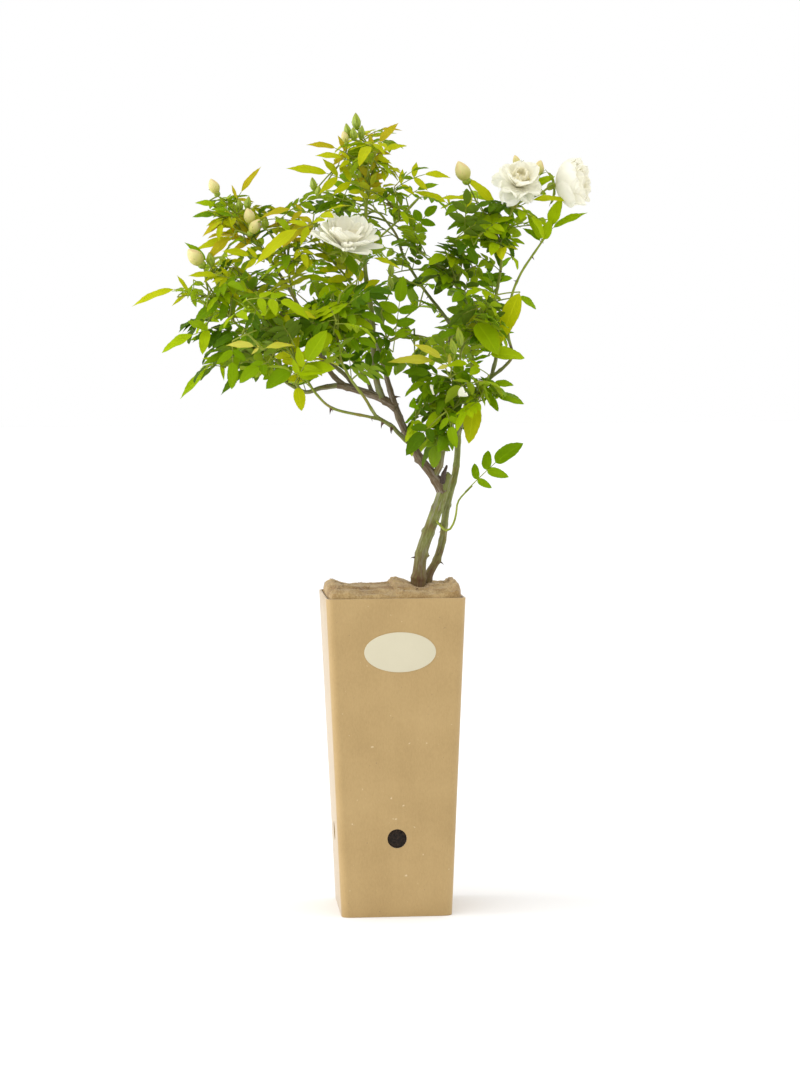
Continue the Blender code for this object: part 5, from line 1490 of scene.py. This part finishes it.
def build_pruned_top():
    """The slanting pale cut on the trunk's tip and the dark dead stub beside it."""
    line = limb_line("trunk", BARK_STEP)
    slant = (heading_at(line, len(line) - 1) + Vector(CUT_SLANT)).normalized()
    across = slant.orthogonal().normalized()
    rings = []
    for share, rise in CUT_RINGS:
        ring = []
        for j in range(CUT_SIDES):
            spoke = across.copy()
            spoke.rotate(Matrix.Rotation(2 * math.pi * j / CUT_SIDES, 3, slant))
            uneven = 1 + 0.06 * noise.noise(spoke * 2.0)
            ring.append(line[-1] + spoke * LIMBS["trunk"]["tip"] * share * uneven + slant * rise)
        rings.append(ring)
    carry(loft("pruning_cut", rings, cut_wood(), 50), "bark")

    def splinters(angle, step):
        return 1 + 0.25 * noise.noise(Vector((math.cos(angle) * 2, math.sin(angle) * 2, step)))
    spur = smooth_line(STUB_BENDS, 1.0)
    wasting = [STUB_RADIUS - STUB_WASTING * k / (len(spur) - 1) for k in range(len(spur))]
    stub = Skin()
    stub.tube(spur, wasting, 12, (1, 1), splinters)
    carry(stub.thing("dead_stub", dead_wood(), LIMB_SHARP), "bark")


# Growth


def cell_planes(name):
    """Half spaces that part this mass's space from every other mass's space."""
    own = MASSES[name]
    middle = Vector(own["middle"])
    weight = (sum(own["reach"]) / 3) ** 2
    planes = []
    for other, mass in MASSES.items():
        if other != name:
            far = Vector(mass["middle"])
            normal = far - middle
            limit = far.length_squared - middle.length_squared - (sum(mass["reach"]) / 3) ** 2 + weight
            planes.append((normal.normalized(), 0.5 * limit / normal.length - CELL_MARGIN))
    return planes


def in_space(points, mass, planes, stretch=REACH_STRETCH):
    """Whether all the points keep to the mass's own space and reach."""
    middle = Vector(mass["middle"])
    for point in points:
        offset = Vector(point) - middle
        if sum((offset[k] / mass["reach"][k]) ** 2 for k in range(3)) > stretch ** 2:
            return False
        if any(normal.dot(point) > limit for normal, limit in planes):
            return False
    return True


def reached(mass, out, share):
    """The point a share of the mass's reach away from its middle."""
    return Vector([mass["middle"][j] + out[j] * mass["reach"][j] * share for j in range(3)])


def sphere_direction(k, count):
    """Direction k of count spread evenly over a ball by the golden angle."""
    z = 1 - 2 * (k + 0.5) / count
    flat = math.sqrt(max(0.0, 1 - z * z))
    return Vector((flat * math.cos(k * GOLDEN_ANGLE), flat * math.sin(k * GOLDEN_ANGLE), z))


def any_direction(chance):
    """A unit vector that may point any way."""
    return Vector((chance.gauss(0, 1), chance.gauss(0, 1), chance.gauss(0, 1))).normalized()


def curved(start, control, end, share):
    """A point of the curve from start to end that a third point draws to itself."""
    return start * (1 - share) ** 2 + control * 2 * share * (1 - share) + end * share * share


def bow_point(start, end, lift, share):
    """A point of the curve from start to end that bows up by a share of its span."""
    control = start + (end - start) * BOW_PEAK + UP * lift * (end - start).length
    return curved(start, control, end, share)


def bow(start, end, lift, steps):
    return [bow_point(start, end, lift, k / steps) for k in range(steps + 1)]


def inside_outline(pixel):
    """Whether a pixel lies inside the crown's outline."""
    x, y = pixel
    inside = False
    before = CROWN_OUTLINE[-1]
    for after in CROWN_OUTLINE:
        if (before[1] > y) != (after[1] > y):
            if x < before[0] + (y - before[1]) * (after[0] - before[0]) / (after[1] - before[1]):
                inside = not inside
        before = after
    return inside


def in_oval(pixel, x, y, half_width, half_height):
    return ((pixel[0] - x) / half_width) ** 2 + ((pixel[1] - y) / half_height) ** 2 < 1


def shows_sky(pixel):
    """Whether the picture shows sky at a pixel."""
    return not inside_outline(pixel) or any(in_oval(pixel, *gap) for gap in SKY_GAPS)


def cell_middle(cell):
    """The pixel in the middle of a cell."""
    return (cell[0] + 0.5) * COVER_CELL, (cell[1] + 0.5) * COVER_CELL


class Cover:
    """How the leaves fill the crown's outline in the picture, in small cells, at the front and at the back."""

    def __init__(self):
        self.open = {}
        self.filled = {True: {}, False: {}}
        self.shown = [(*pixel_of(Vector(b["base"]) + Vector(b["axis"]) * b["show"]), *b["oval"],
                       b["base"][1]) for b in BLOOMS.values() if "oval" in b]
        self.shown += [((foot[0] + tip[0]) / 2, (foot[1] + tip[1]) / 2, *BUD_OVAL, depth)
                       for foot, tip, depth, radius, kind in BUDS.values() if depth < BACK_DEPTH]

    def state(self, cell):
        """Whether leaves belong in the cell."""
        if cell not in self.open:
            self.open[cell] = not shows_sky(cell_middle(cell))
        return self.open[cell]

    def cells(self, leaf):
        """The cells that a leaf's leaflets hide, and how much of it would hide a flower or a bud."""
        found = set()
        hiding = 0
        for base, out, face, length, wide, bend, tone in leaf.leaflets:
            across = face.cross(out) * length * wide * COVER_BREADTH
            for share in COVER_SHARES:
                middle = base + out * length * share - face * length * bend * share * share
                for side in (-1, 0, 1):
                    point = middle + across * side * math.sin(math.pi * share)
                    pixel = pixel_of(point)
                    found.add((int(pixel[0] // COVER_CELL), int(pixel[1] // COVER_CELL)))
                    hiding += any(point.y < depth + COVER_DEPTH and in_oval(pixel, *oval)
                                  for *oval, depth in self.shown)
        return found, hiding / (3 * len(COVER_SHARES) * len(leaf.leaflets))

    def hidden(self, leaf):
        """The cells that a leaf would hide, or none where it shows in the sky or hides a flower."""
        found, hiding = self.cells(leaf)
        astray = sum(not self.state(cell) for cell in found)
        return () if astray > STRAY_SHARE * len(found) or hiding > HIDING_SHARE else found

    def score(self, leaf, front):
        """How much a leaf would fill, where a cell is worth less for every leaf it has."""
        filled = self.filled[front]
        worth = sum(FILL_WORTH ** filled.get(cell, 0) for cell in self.hidden(leaf))
        return worth / len(leaf.leaflets) ** 0.5

    def newly(self, leaf):
        """How many cells a leaf would be the first to fill."""
        return sum(self.state(cell) and not self.leaves(cell) for cell in self.hidden(leaf))

    def leaves(self, cell):
        """How many leaves hide a cell."""
        return self.filled[True].get(cell, 0) + self.filled[False].get(cell, 0)

    def fill(self, leaf, front):
        for cell in self.cells(leaf)[0]:
            self.filled[front][cell] = self.filled[front].get(cell, 0) + 1


class Leaf:
    """One compound leaf: the line of its stalk and its leaflets."""

    def __init__(self, start, end, towards, chance, pairs, tint, wide, stalk=STALK_END, side=SIDE_SHARE,
                 lift=LEAF_BOW):
        self.start = start
        self.tint = tint
        self.stalk = [bow_point(start, end, lift, stalk * k / STALK_STEPS) for k in range(STALK_STEPS + 1)]
        self.leaflets = []
        span = (end - start).length

        def axes(share):
            """The place, heading, right and face of the leaf's line at a share of it."""
            centre = bow_point(start, end, lift, share)
            heading = (bow_point(start, end, lift, share + LOOK_AHEAD) - centre).normalized()
            across = heading.cross(towards).normalized()
            return centre, heading, across, across.cross(heading)
        for pair in range(pairs):
            share = stalk * (1 - (pairs - pair) * (1 - PAIR_ROOT) / (pairs + PAIR_END))
            centre, heading, across, face = axes(share + PAIR_ROOT * stalk * 0.4)
            size = side * span * (FIRST_PAIR + PAIR_GAIN * (pair + 1) / pairs)
            for turn in (1, -1):
                angle = PAIR_ANGLE + chance.uniform(-PAIR_STRAY, PAIR_STRAY)
                out = heading * math.cos(angle) + across * turn * math.sin(angle) - UP * PAIR_DROOP
                self.add(centre, out, face, size * chance.uniform(*SIDE_SPREAD), wide, chance)
        centre, heading, across, face = axes(stalk)
        last = end - centre
        self.add(centre, last, face, last.length, wide, chance, heading.dot(last.normalized()))

    def add(self, base, out, face, length, wide, chance, arch=1.0):
        """A leaflet, bent more the less it follows the stalk."""
        out = out.normalized()
        face = (face - out * face.dot(out)).normalized()
        bend = chance.uniform(*BEND_SPREAD) + 0.5 * math.sqrt(max(0.0, 1 - arch * arch))
        wide = wide * chance.uniform(*WIDE_SPREAD)
        self.leaflets.append((base, out, face, length, wide, bend, chance.random()))

    def outline(self):
        """Points that stand for the leaf where its space is tested."""
        points = list(self.stalk[3::2])
        for base, out, face, length, wide, bend, tone in self.leaflets:
            points += [base + out * length * 0.5, base + out * length]
        return points

    def ball(self):
        """The middle of the leaf and how far it reaches from there."""
        points = self.outline()
        middle = sum(points, Vector()) / len(points)
        return middle, max((p - middle).length for p in points)

    def tree(self):
        """A tree of flat kite-shaped leaflets for tests of touch."""
        points = []
        for base, out, face, length, wide, bend, tone in self.leaflets:
            across = out.cross(face) * length * wide * 0.5
            middle = base + out * length * KITE_MIDDLE
            points += [base + out * length * KITE_FOOT, middle - across,
                       base + out * length * KITE_TIP, middle + across]
        faces = [(k, k + 1, k + 2, k + 3) for k in range(0, len(points), 4)]
        return BVHTree.FromPolygons([tuple(p) for p in points], faces)


class Crown:
    """All that grows on the limbs: twigs and stalks as tubes, and leaves by colour."""

    def __init__(self):
        self.skin = Skin()
        self.leaves = []
        self.trees = []
        self.nodes = {}
        self.cover = Cover()
        self.limbs = []
        for name in LIMBS:
            line = limb_line(name)
            skin = Skin()
            skin.tube(line, [radius + LIMB_MARGIN for radius in limb_radii(name, line)], 6, (0, 0))
            self.limbs.append(BVHTree.FromPolygons([tuple(p) for p in skin.points], skin.faces))

    def tube(self, line, radii, age):
        self.skin.tube(line, radii, TWIG_SIDES, age, seed=len(self.skin.points) * 0.01)

    def twig(self, mass, line, radii, age):
        """A thin tube with a node at each of its points."""
        self.tube(line, radii, age)
        self.nodes[mass] = self.nodes.get(mass, []) + line[1:]

    def closest(self, point, mass):
        """The mass's node that lies closest to the point."""
        return min(self.nodes[mass], key=lambda place: (place - point).length)

    def reach_out(self, foot, radius, age):
        """A fine twig from the closest node to the foot of what it bears."""
        nodes = sorted((p for places in self.nodes.values() for p in places), key=lambda p: (p - foot).length)
        if (foot - nodes[0]).length >= TOUCHING:
            lines = [bow(start, foot, REACH_BOW, 4) for start in nodes[:NODES_SOUGHT]]
            line = next((line for line in lines if not near_bloom(line[:-1])), lines[0])
            self.tube(line, [radius * 1.15, radius * 1.1, radius, radius, radius], age)

    def keep(self, leaf):
        """Add a leaf and its stalk."""
        self.leaves.append(leaf)
        middle, size = leaf.ball()
        self.trees.append((middle, size, leaf.tree()))
        self.cover.fill(leaf, middle.y < FRONT_DEPTH)
        radii = [STALK_RADIUS + (RACHIS_RADIUS - STALK_RADIUS) * k / STALK_STEPS
                 for k in range(STALK_STEPS + 1)]
        self.skin.tube(leaf.stalk, radii, 5, (0.03, 0.0), seed=len(self.leaves) * 0.7)

    def clear(self, leaf):
        """Whether the leaf meets no limb and no other leaf."""
        tree = leaf.tree()
        if any(tree.overlap(limb) for limb in self.limbs):
            return False
        middle, size = leaf.ball()
        return not any((other - middle).length < size + reach and tree.overlap(met)
                       for other, reach, met in self.trees)

    def best(self, found):
        """The worthiest leaf found that is clear, and what was found with it."""
        for worth, attempt, leaf, beside in sorted(found, reverse=True, key=lambda item: item[:2]):
            if self.clear(leaf):
                return leaf, beside
        return None, None


def mass_stem(name):
    """The line of the mass's own stem, from its bough into its middle."""
    mass = MASSES[name]
    line = limb_line(mass["bough"])
    middle = Vector(mass["middle"])
    if "side" in mass:
        k = round(mass["side"] * (len(line) - 1))
        heading = Vector(mass["heading"]).normalized()
        along = heading_at(line, k)
        heading = (heading - along * heading.dot(along)).normalized()
        start = line[k]
    else:
        heading = heading_at(line, len(line) - 1)
        start = line[-1] - heading * 0.5
    if "stem" in mass:
        return smooth_line([start] + mass["stem"], 4.0)
    end = middle + (middle - start) * STEM_REACH + UP * STEM_RISE * mass["reach"][2]
    control = start + heading * BOW_PEAK * (middle - start).length
    return [curved(start, control, end, k / STEM_STEPS) for k in range(STEM_STEPS + 1)]


def grow_twigs(crown, name, chance):
    """The mass's stem and the finer twigs that leave it to all sides."""
    mass = MASSES[name]
    stem = mass_stem(name)
    planes = cell_planes(name)
    tip = LIMBS[mass["bough"]]["tip"] if "side" not in mass else STEM_RADIUS
    count = len(stem) - 1
    crown.twig(name, stem, [tip + (STEM_TIP - tip) * k / count for k in range(count + 1)], (0.12, 0.0))
    if "leaves" not in mass:
        return
    if "side" not in mass:
        crown.nodes[name] += limb_line(mass["bough"])[-3:]
    for k in range(TWIGS):
        out = sphere_direction(k, TWIGS)
        out.rotate(Matrix.Rotation(chance.uniform(0, 2 * math.pi), 3, "Z"))
        out.z = TWIG_FLATNESS * out.z + TWIG_RISE
        end = reached(mass, out, TWIG_REACH * chance.uniform(0.8, 1.1))
        line = bow(stem[2 + round((count - 2) * k / (TWIGS - 1))], end, TWIG_BOW, TWIG_STEPS)
        if in_space(line[1:], mass, planes) and not shows_sky(pixel_of(end)) and not near_bloom(line):
            radii = [TWIG_RADIUS * (1.1 - 0.5 * j / TWIG_STEPS) for j in range(TWIG_STEPS + 1)]
            crown.twig(name, line, radii, (0.06, 0.0))


def grow_shown_leaves(crown):
    """The leaves that stand out by themselves, each on a fine twig from what is closest."""
    for name, (foot, tip, depths, pairs, stalk, wide, side, lift, tint) in SHOWN_LEAVES.items():
        chance = random.Random(name)
        foot = seen(foot, depths[0])
        tip = seen(tip, depths[1])
        towards = UP * 0.6 + Vector((0.0, -0.7, 0.0)) + any_direction(chance) * 0.15
        crown.reach_out(foot, LEAF_TWIG_RADIUS, (0.05, 0.0))
        crown.keep(Leaf(foot, tip, towards, chance, pairs, tint, wide * SHOWN_BREADTH, stalk, side, lift))


def near_bloom(points):
    """Whether any point lies within a bloom."""
    return any((p - Vector(b["base"]) - Vector(b["axis"]) * BLOOM_HEART).length < b["radius"] * BLOOM_SPACE
               for p in points for b in BLOOMS.values())


def facing(place, chance):
    """Which way a leaf at a place looks: up, outwards and a little by chance."""
    outward = (place - CROWN_MIDDLE).normalized()
    return UP * FACE_UP + outward * FACE_OUT + any_direction(chance) * FACE_CHANCE


def tint_pool(mass):
    """The mass's colours, each as often as it weighs."""
    return [tint for tint, weight in mass["tints"].items() for _ in range(weight)]


def leaf_length(mass, chance):
    return SPAN_OF_LEAFLET * mass["leaflet"] * chance.uniform(*LENGTH_SPREAD)


def grow_leaves(crown, name, chance):
    """Leaves spread through the mass's reach, each the one of several tries that fills the crown best."""
    mass = MASSES[name]
    planes = cell_planes(name)
    wanted = round(mass["leaves"] * FULLNESS)
    front = mass["middle"][1] < FRONT_DEPTH
    tints = tint_pool(mass)
    borne = {}
    for k in range(wanted):
        found = []
        for attempt in range(LEAF_TRIES):
            stray = LEAF_STRAY * (LEAST_STRAY + attempt / LEAF_TRIES)
            out = (sphere_direction(k, wanted) + any_direction(chance) * stray).normalized()
            end = reached(mass, out, INNER_SHARE + OUTER_SHARE * chance.random() ** OUTWARD)
            length = leaf_length(mass, chance)
            pairs = chance.choice(LEAF_PAIRS)
            tint = chance.choice(tints)

            def miss(place):
                return abs((place - end).length - length) + NODE_CROWDING * borne.get(tuple(place), 0)
            place = chance.choice(sorted(crown.nodes[name], key=miss)[:NODES_TRIED])
            reach = end - place
            reach.z *= LEAF_FLATNESS
            if reach.length < SHORTEST * length:
                continue
            tip = place + reach * min(1.0, LONGEST * length / reach.length)
            leaf = Leaf(place, tip, facing(0.5 * (place + tip), chance), chance, pairs, tint,
                        mass["wide"] * BREADTH)
            points = leaf.outline()
            if in_space(points, mass, planes) and not near_bloom(points):
                score = crown.cover.score(leaf, front)
                if score:
                    found.append((score, attempt, leaf, place))
        leaf, place = crown.best(found)
        if leaf:
            crown.keep(leaf)
            borne[tuple(place)] = borne.get(tuple(place), 0) + 1


def masses_at(pixel):
    """The masses that lie closest round a pixel of the picture."""
    found = []
    for name, mass in MASSES.items():
        if "leaves" in mass:
            offset = seen(pixel, mass["middle"][1]) - Vector(mass["middle"])
            away = math.hypot(offset.x / mass["reach"][0], offset.z / mass["reach"][2])
            if away < REACH_STRETCH:
                found.append((away, name))
    return [name for away, name in sorted(found)[:FILL_MASSES]]


def fill_crown(crown):
    """Leaves where the crown is still open though the picture shows no sky, on fine twigs of their own."""
    chance = random.Random("fill")
    columns = range(int(PICTURE_WIDTH // COVER_CELL))
    rows = range(int(PICTURE_HEIGHT // COVER_CELL))
    cells = [(x, y) for x in columns for y in rows if crown.cover.state((x, y))]
    chance.shuffle(cells)
    for cell in cells:
        pixel = cell_middle(cell)
        names = masses_at(pixel)
        if crown.cover.leaves(cell) or not names:
            continue
        found = []
        for attempt in range(FILL_TRIES):
            name = chance.choice(names)
            mass = MASSES[name]
            target = seen(pixel, mass["middle"][1] + mass["reach"][1] * chance.uniform(-FILL_DEPTH, FILL_DEPTH))
            start = crown.closest(target, name)
            heading = (target - start).normalized() + any_direction(chance) * 0.5
            heading.z *= LEAF_FLATNESS
            heading.normalize()
            length = leaf_length(mass, chance)
            foot = target - heading * length * chance.uniform(*FILL_SPAN)
            if (foot - start).dot(heading) < 0:
                foot = start
            leaf = Leaf(foot, foot + heading * length, facing(target, chance), chance,
                        chance.choice(FILL_PAIRS), chance.choice(tint_pool(mass)), mass["wide"] * BREADTH)
            points = leaf.outline()
            if in_space(points, mass, (), FILL_REACH) and not near_bloom(points):
                newly = crown.cover.newly(leaf)
                if newly >= FILL_LEAST:
                    found.append((newly, attempt, leaf, name))
        leaf, name = crown.best(found)
        if leaf:
            crown.reach_out(leaf.start, LEAF_TWIG_RADIUS, (0.05, 0.0))
            crown.keep(leaf)
            crown.nodes[name].append(leaf.start)


def grow_crown():
    """Everything that grows on the limbs but the blooms and buds."""
    crown = Crown()
    for name in MASSES:
        grow_twigs(crown, name, random.Random(name + " twigs"))
    grow_shown_leaves(crown)
    for name, mass in MASSES.items():
        if "leaves" in mass:
            grow_leaves(crown, name, random.Random(name + " leaves"))
    fill_crown(crown)
    return crown


LEAFLET_ROWS = {"base": "FLOAT_VECTOR", "ahead": "FLOAT_VECTOR", "across": "FLOAT_VECTOR",
                "face": "FLOAT_VECTOR", "length": "FLOAT", "wide": "FLOAT", "bend": "FLOAT", "tone": "FLOAT"}


def build_leaves(crown):
    """One piece of leaflets for each colour."""
    nodes = leaflet_tree()
    masses = list(MASSES)
    for k, tint in enumerate(TINTS):
        blades = [blade for leaf in crown.leaves if leaf.tint == tint for blade in leaf.leaflets]
        rows = [(tuple(base * MM), tuple(out), tuple(face.cross(out)), tuple(face), length * MM, *rest)
                for base, out, face, length, *rest in blades]
        leaves = grow_on_points("leaves_" + tint, [blade[0] for blade in blades], LEAFLET_ROWS, rows, nodes,
                                leaf_blade(tint))
        carry(leaves, "foliage", *masses[k::len(TINTS)])


# Blooms and buds


def frame_of(axis):
    """An axis of unit length and two directions square to it."""
    axis = axis.normalized()
    across = axis.orthogonal().normalized()
    return axis, across, axis.cross(across)


class Petals(Body):
    """Thin closed petals and pointed eggs."""

    def __init__(self):
        super().__init__(petal="FLOAT_VECTOR")

    def petal(self, base, axis, around, length, width, lean, curl, cup, ruffle, heart, chance,
              notch=0.0, rows=9, columns=8, thickness=0.28, start=1.2):
        """A petal that leaves the axis at an angle lean and ends at lean + curl."""
        axis, across, other = frame_of(axis)
        out = across * math.cos(around) + other * math.sin(around)
        side = axis.cross(out)
        seed = chance.uniform(0, 50)
        twist = chance.uniform(-0.12, 0.12)
        first = len(self.points)
        face = []
        spot = base + out * start
        for row in range(rows + 1):
            share = row / rows
            angle = lean + curl * share ** 1.5
            heading = axis * math.cos(angle) + out * math.sin(angle)
            inward = axis * math.sin(angle) - out * math.cos(angle)
            if row:
                spot = spot + heading * (length / rows)
            body = math.sin(math.pi * min(1.0, 0.10 + 0.56 * share ** 0.75)) ** 1.1
            end = 1 - max(0.0, (share - 0.72) / 0.28) ** 2.4 * 0.72
            half = 0.5 * width * body * end
            turned = side * math.cos(twist) + inward * math.sin(twist)
            for column in range(columns + 1):
                u = 2 * column / columns - 1
                edge = noise.noise(Vector((u * 2.4 + seed, share * 2.0, seed)))
                wave = ruffle * share ** 2 * math.sin(u * 7.0 + seed) * (0.5 + abs(u))
                lift = cup * half * u * u + wave + ruffle * 0.8 * share * edge
                short = notch * share ** 4 * (math.exp(-(u / 0.22) ** 2) + 0.5 * edge)
                point = spot + turned * half * u * (1 - 0.18 * cup * abs(u)) + inward * lift - heading * short
                face.append((point, inward * thickness, (share, u, heart)))
        for point, back, mark in face:
            self.dot(point, mark)
        for point, back, mark in face:
            self.dot(point - back, mark)
        self.faces += sheet_faces(first, rows, columns)

    def egg(self, foot, tip, radius, mark=0.0, sides=18, rows=12, spiral=0.0, seed=0.0, ridges=0.0, peak=0.42):
        """A closed pointed egg, its skin wound with petals or ridged."""
        axis, across, other = frame_of(tip - foot)
        length = (tip - foot).length
        first = len(self.points)
        self.dot(foot, (0.0, 0.0, mark))
        for row in range(1, rows):
            share = row / rows
            swell = math.sin(math.pi * share ** (math.log(0.5) / math.log(peak))) ** 0.72
            swell *= 1 - 0.25 * max(0.0, share - 0.6)
            for k in range(sides):
                angle = 2 * math.pi * k / sides
                wound = math.sin(3 * angle + share * 7.0 + seed)
                depth = 1 + spiral * max(0.0, wound) ** 3 * share - ridges * abs(math.sin(2.5 * angle))
                spoke = across * math.cos(angle) + other * math.sin(angle)
                self.dot(foot + axis * length * share + spoke * radius * swell * depth,
                         (share, angle / math.pi - 1, mark))
        self.dot(tip, (1.0, 0.0, mark))
        last = len(self.points) - 1
        self.faces += fan_faces(first + 1, sides, first, True)
        self.faces += ring_faces(first + 1, rows - 1, sides)
        self.faces += fan_faces(last - sides, sides, last, False)


def build_bloom(petals, bloom, chance):
    """A flower from the outermost ring of petals to its heart."""
    axis = Vector(bloom["axis"]).normalized()
    base = Vector(bloom["base"])
    size = bloom["radius"]
    kind = bloom["rings"]
    spread, sway = PETAL_SPREAD[kind]
    for ring, (count, reach, lean, curl, wide, cup, ruffle, heart) in enumerate(BLOOM_RINGS[kind]):
        for k in range(count):
            around = 2 * math.pi * (k + 0.5 * (ring % 2)) / count + chance.uniform(-0.16, 0.16)
            long = size * reach * chance.uniform(0.90, 1.08)
            broad = size * wide * chance.uniform(*spread)
            own_lean = math.radians(lean + chance.uniform(-sway, sway))
            own_curl = math.radians(curl + chance.uniform(-8, 8))
            petals.petal(base + axis * ring * 0.7, axis, around, long, broad, own_lean, own_curl, cup, ruffle,
                         heart, chance, notch=BLOOM_NOTCH[kind] * (1 - 0.16 * ring))
    if kind == "full":
        base = base + axis * 2.0
        petals.egg(base, base + axis * size * 0.55, size * 0.30, mark=1.0, sides=24, rows=14, spiral=0.22,
                   seed=1.0, peak=0.55)


def sepals(green, base, axis, length, lean, chance):
    """Five narrow pointed sepals below a flower or hugging a bud."""
    for k in range(5):
        around = 2 * math.pi * k / 5 + chance.uniform(-0.1, 0.1)
        green.petal(base, axis, around, length * chance.uniform(0.85, 1.1), length * 0.34, lean, 0.35, 0.5,
                    0.1, 0.0, chance, notch=-length * 0.22, rows=6, columns=4, thickness=0.3, start=1.0)


def build_flowers(crown):
    """All blooms, buds, their green parts and the loose petals, each kind one piece."""
    petals = Petals()
    green = Petals()
    cream = Petals()
    for name, bloom in BLOOMS.items():
        chance = random.Random(name)
        build_bloom(petals, bloom, chance)
        axis = Vector(bloom["axis"]).normalized()
        base = Vector(bloom["base"])
        stalk = [Vector(p) for p in bloom.get("stalk", [])] + [base - axis * 6.5]
        crown.reach_out(stalk[0], BLOOM_STALK_RADIUS, (0.0, 0.0))
        if len(stalk) > 1:
            line = smooth_line(stalk, 4.0)
            crown.skin.tube(line, [BLOOM_STALK_RADIUS] * len(line), TWIG_SIDES, (0.0, 0.0))
        green.egg(base - axis * 7.0, base + axis * 1.0, 2.8)
        sepals(green, base - axis * 2.0, axis, 12.0, math.radians(95), chance)
    for name, (foot, tip, depth, radius, kind) in BUDS.items():
        chance = random.Random(name)
        foot = seen(foot, depth)
        tip = seen(tip, depth - 2)
        axis = (tip - foot).normalized()
        crown.reach_out(foot, BUD_TWIG_RADIUS, (0.02, 0.0))
        green.egg(foot - axis * 1.0, foot + axis * radius * 1.3, radius * 0.62, sides=14, rows=8)
        if kind == "green":
            green.egg(foot, tip, radius, ridges=0.16, sides=20, peak=0.38)
        else:
            cream.egg(foot + axis * radius * 0.3, tip, radius, spiral=0.13, sides=24, rows=16,
                      seed=chance.uniform(0, 6), peak=0.46)
        length, lean = (1.9, 0.62) if kind == "opening" else (1.5, 0.30)
        sepals(green, foot + axis * radius * 0.25, axis, radius * length, lean, chance)
    for name, (spot, depth, size) in FALLEN_PETALS.items():
        chance = random.Random(name)
        petals.petal(seen(spot, depth) - UP * size * 0.5, any_direction(chance) + UP, chance.uniform(0, 6),
                     size, size * 0.8, 0.3, 0.5, 0.4, 0.6, 0.1, chance)
    for name, body, finish in (("petals", petals, petal_skin), ("bud_petals", cream, bud_petal),
                               ("sepals", green, sepal_skin)):
        carry(body.thing(name, finish(), PETAL_SHARP), "foliage")


def build_stamens():
    """The golden eye of the open flowers."""
    places = []
    rows = []
    chance = random.Random("stamens")
    for name, count in STAMENS.items():
        axis = Vector(BLOOMS[name]["axis"]).normalized()
        base = Vector(BLOOMS[name]["base"]) + axis * 5.0
        for k in range(count):
            lean = (axis + any_direction(chance) * 0.5).normalized()
            places.append(base + lean * chance.uniform(0.2, 2.2))
            rows.append((tuple(lean.to_track_quat("Z", "Y").to_euler()), chance.uniform(0.8, 1.5)))
    carry(grow_on_points("stamens", places, TURNED_ROWS, rows, stamen_tree(), pollen()), "foliage")


# Prickles


def nearest_on_limbs(point):
    """The closest limb's centre, radius and direction."""
    found = []
    for name in LIMBS:
        line = limb_line(name, BARK_STEP)
        radii = limb_radii(name, line)
        found += [((place - point).length, place, radii[k], heading_at(line, k))
                  for k, place in enumerate(line)]
    return min(found, key=lambda item: item[0])[1:]


def build_prickles():
    """The prickles that show, and a sparse scatter of small ones on the greener limbs."""
    places = []
    rows = []

    def add(centre, radius, along, out, size):
        """A prickle that stands out of the bark and hooks down."""
        out = (out - along * out.dot(along)).normalized()
        down = Vector((0, 0, -1))
        across = (down - out * down.dot(out)).normalized()
        turn = Matrix((across, out.cross(across), out)).transposed().to_euler()
        places.append(centre + out * radius * 0.8)
        rows.append((tuple(turn), size))
    for name, (spot, depth, lean) in PRICKLES.items():
        out = EYE_RIGHT * lean[0] + EYE_UP * lean[1] - EYE_AHEAD * 0.25
        add(*nearest_on_limbs(seen(spot, depth)), out, 0.9 + 0.02 * len(name))
    chance = random.Random("prickles")
    for name in PRICKLY_LIMBS:
        line = limb_line(name, BARK_STEP)
        radii = limb_radii(name, line)
        k = chance.randrange(6, 16)
        while k < len(line) - 3:
            add(line[k], radii[k], heading_at(line, k), any_direction(chance), chance.uniform(0.45, 0.8))
            k += chance.randrange(9, 20)
    carry(grow_on_points("prickles", places, TURNED_ROWS, rows, prickle_tree(), prickle_horn()), "bark")


# Stage


def build_stage():
    """A plain pale floor, a white sky and three soft lamps."""
    bpy.ops.mesh.primitive_plane_add(size=FLOOR_SIZE, location=(0, 0, 0))
    floor = bpy.context.active_object
    floor.name = "floor"
    floor.data.materials.append(floor_board())
    world = bpy.data.worlds.new("studio")
    world.use_nodes = True
    sky = world.node_tree.nodes["Background"]
    sky.inputs["Color"].default_value = (1.0, 1.0, 1.0, 1.0)
    sky.inputs["Strength"].default_value = 1.0
    bpy.context.scene.world = world
    for name, kind, spot, size, power in LAMPS:
        lamp = bpy.data.lights.new(name, kind)
        lamp.energy = power
        if kind == "SUN":
            lamp.angle = size
        else:
            lamp.size = size
        thing = thing_from(name, lamp)
        thing.location = spot
        thing.rotation_mode = "QUATERNION"
        thing.rotation_quaternion = (LAMP_TARGET - Vector(spot)).to_track_quat("-Z", "Y")
    bpy.context.scene.view_settings.view_transform = "Standard"


def main():
    finish_soil()
    build_camera()
    build_stage()
    build_pot()
    build_paper()
    build_label()
    bark = cane_bark()
    build_limbs(bark)
    build_pruned_top()
    crown = grow_crown()
    build_leaves(crown)
    build_flowers(crown)
    build_stamens()
    build_prickles()
    carry(crown.skin.thing("twigs_and_stalks", bark, LIMB_SHARP), "bark")


main()
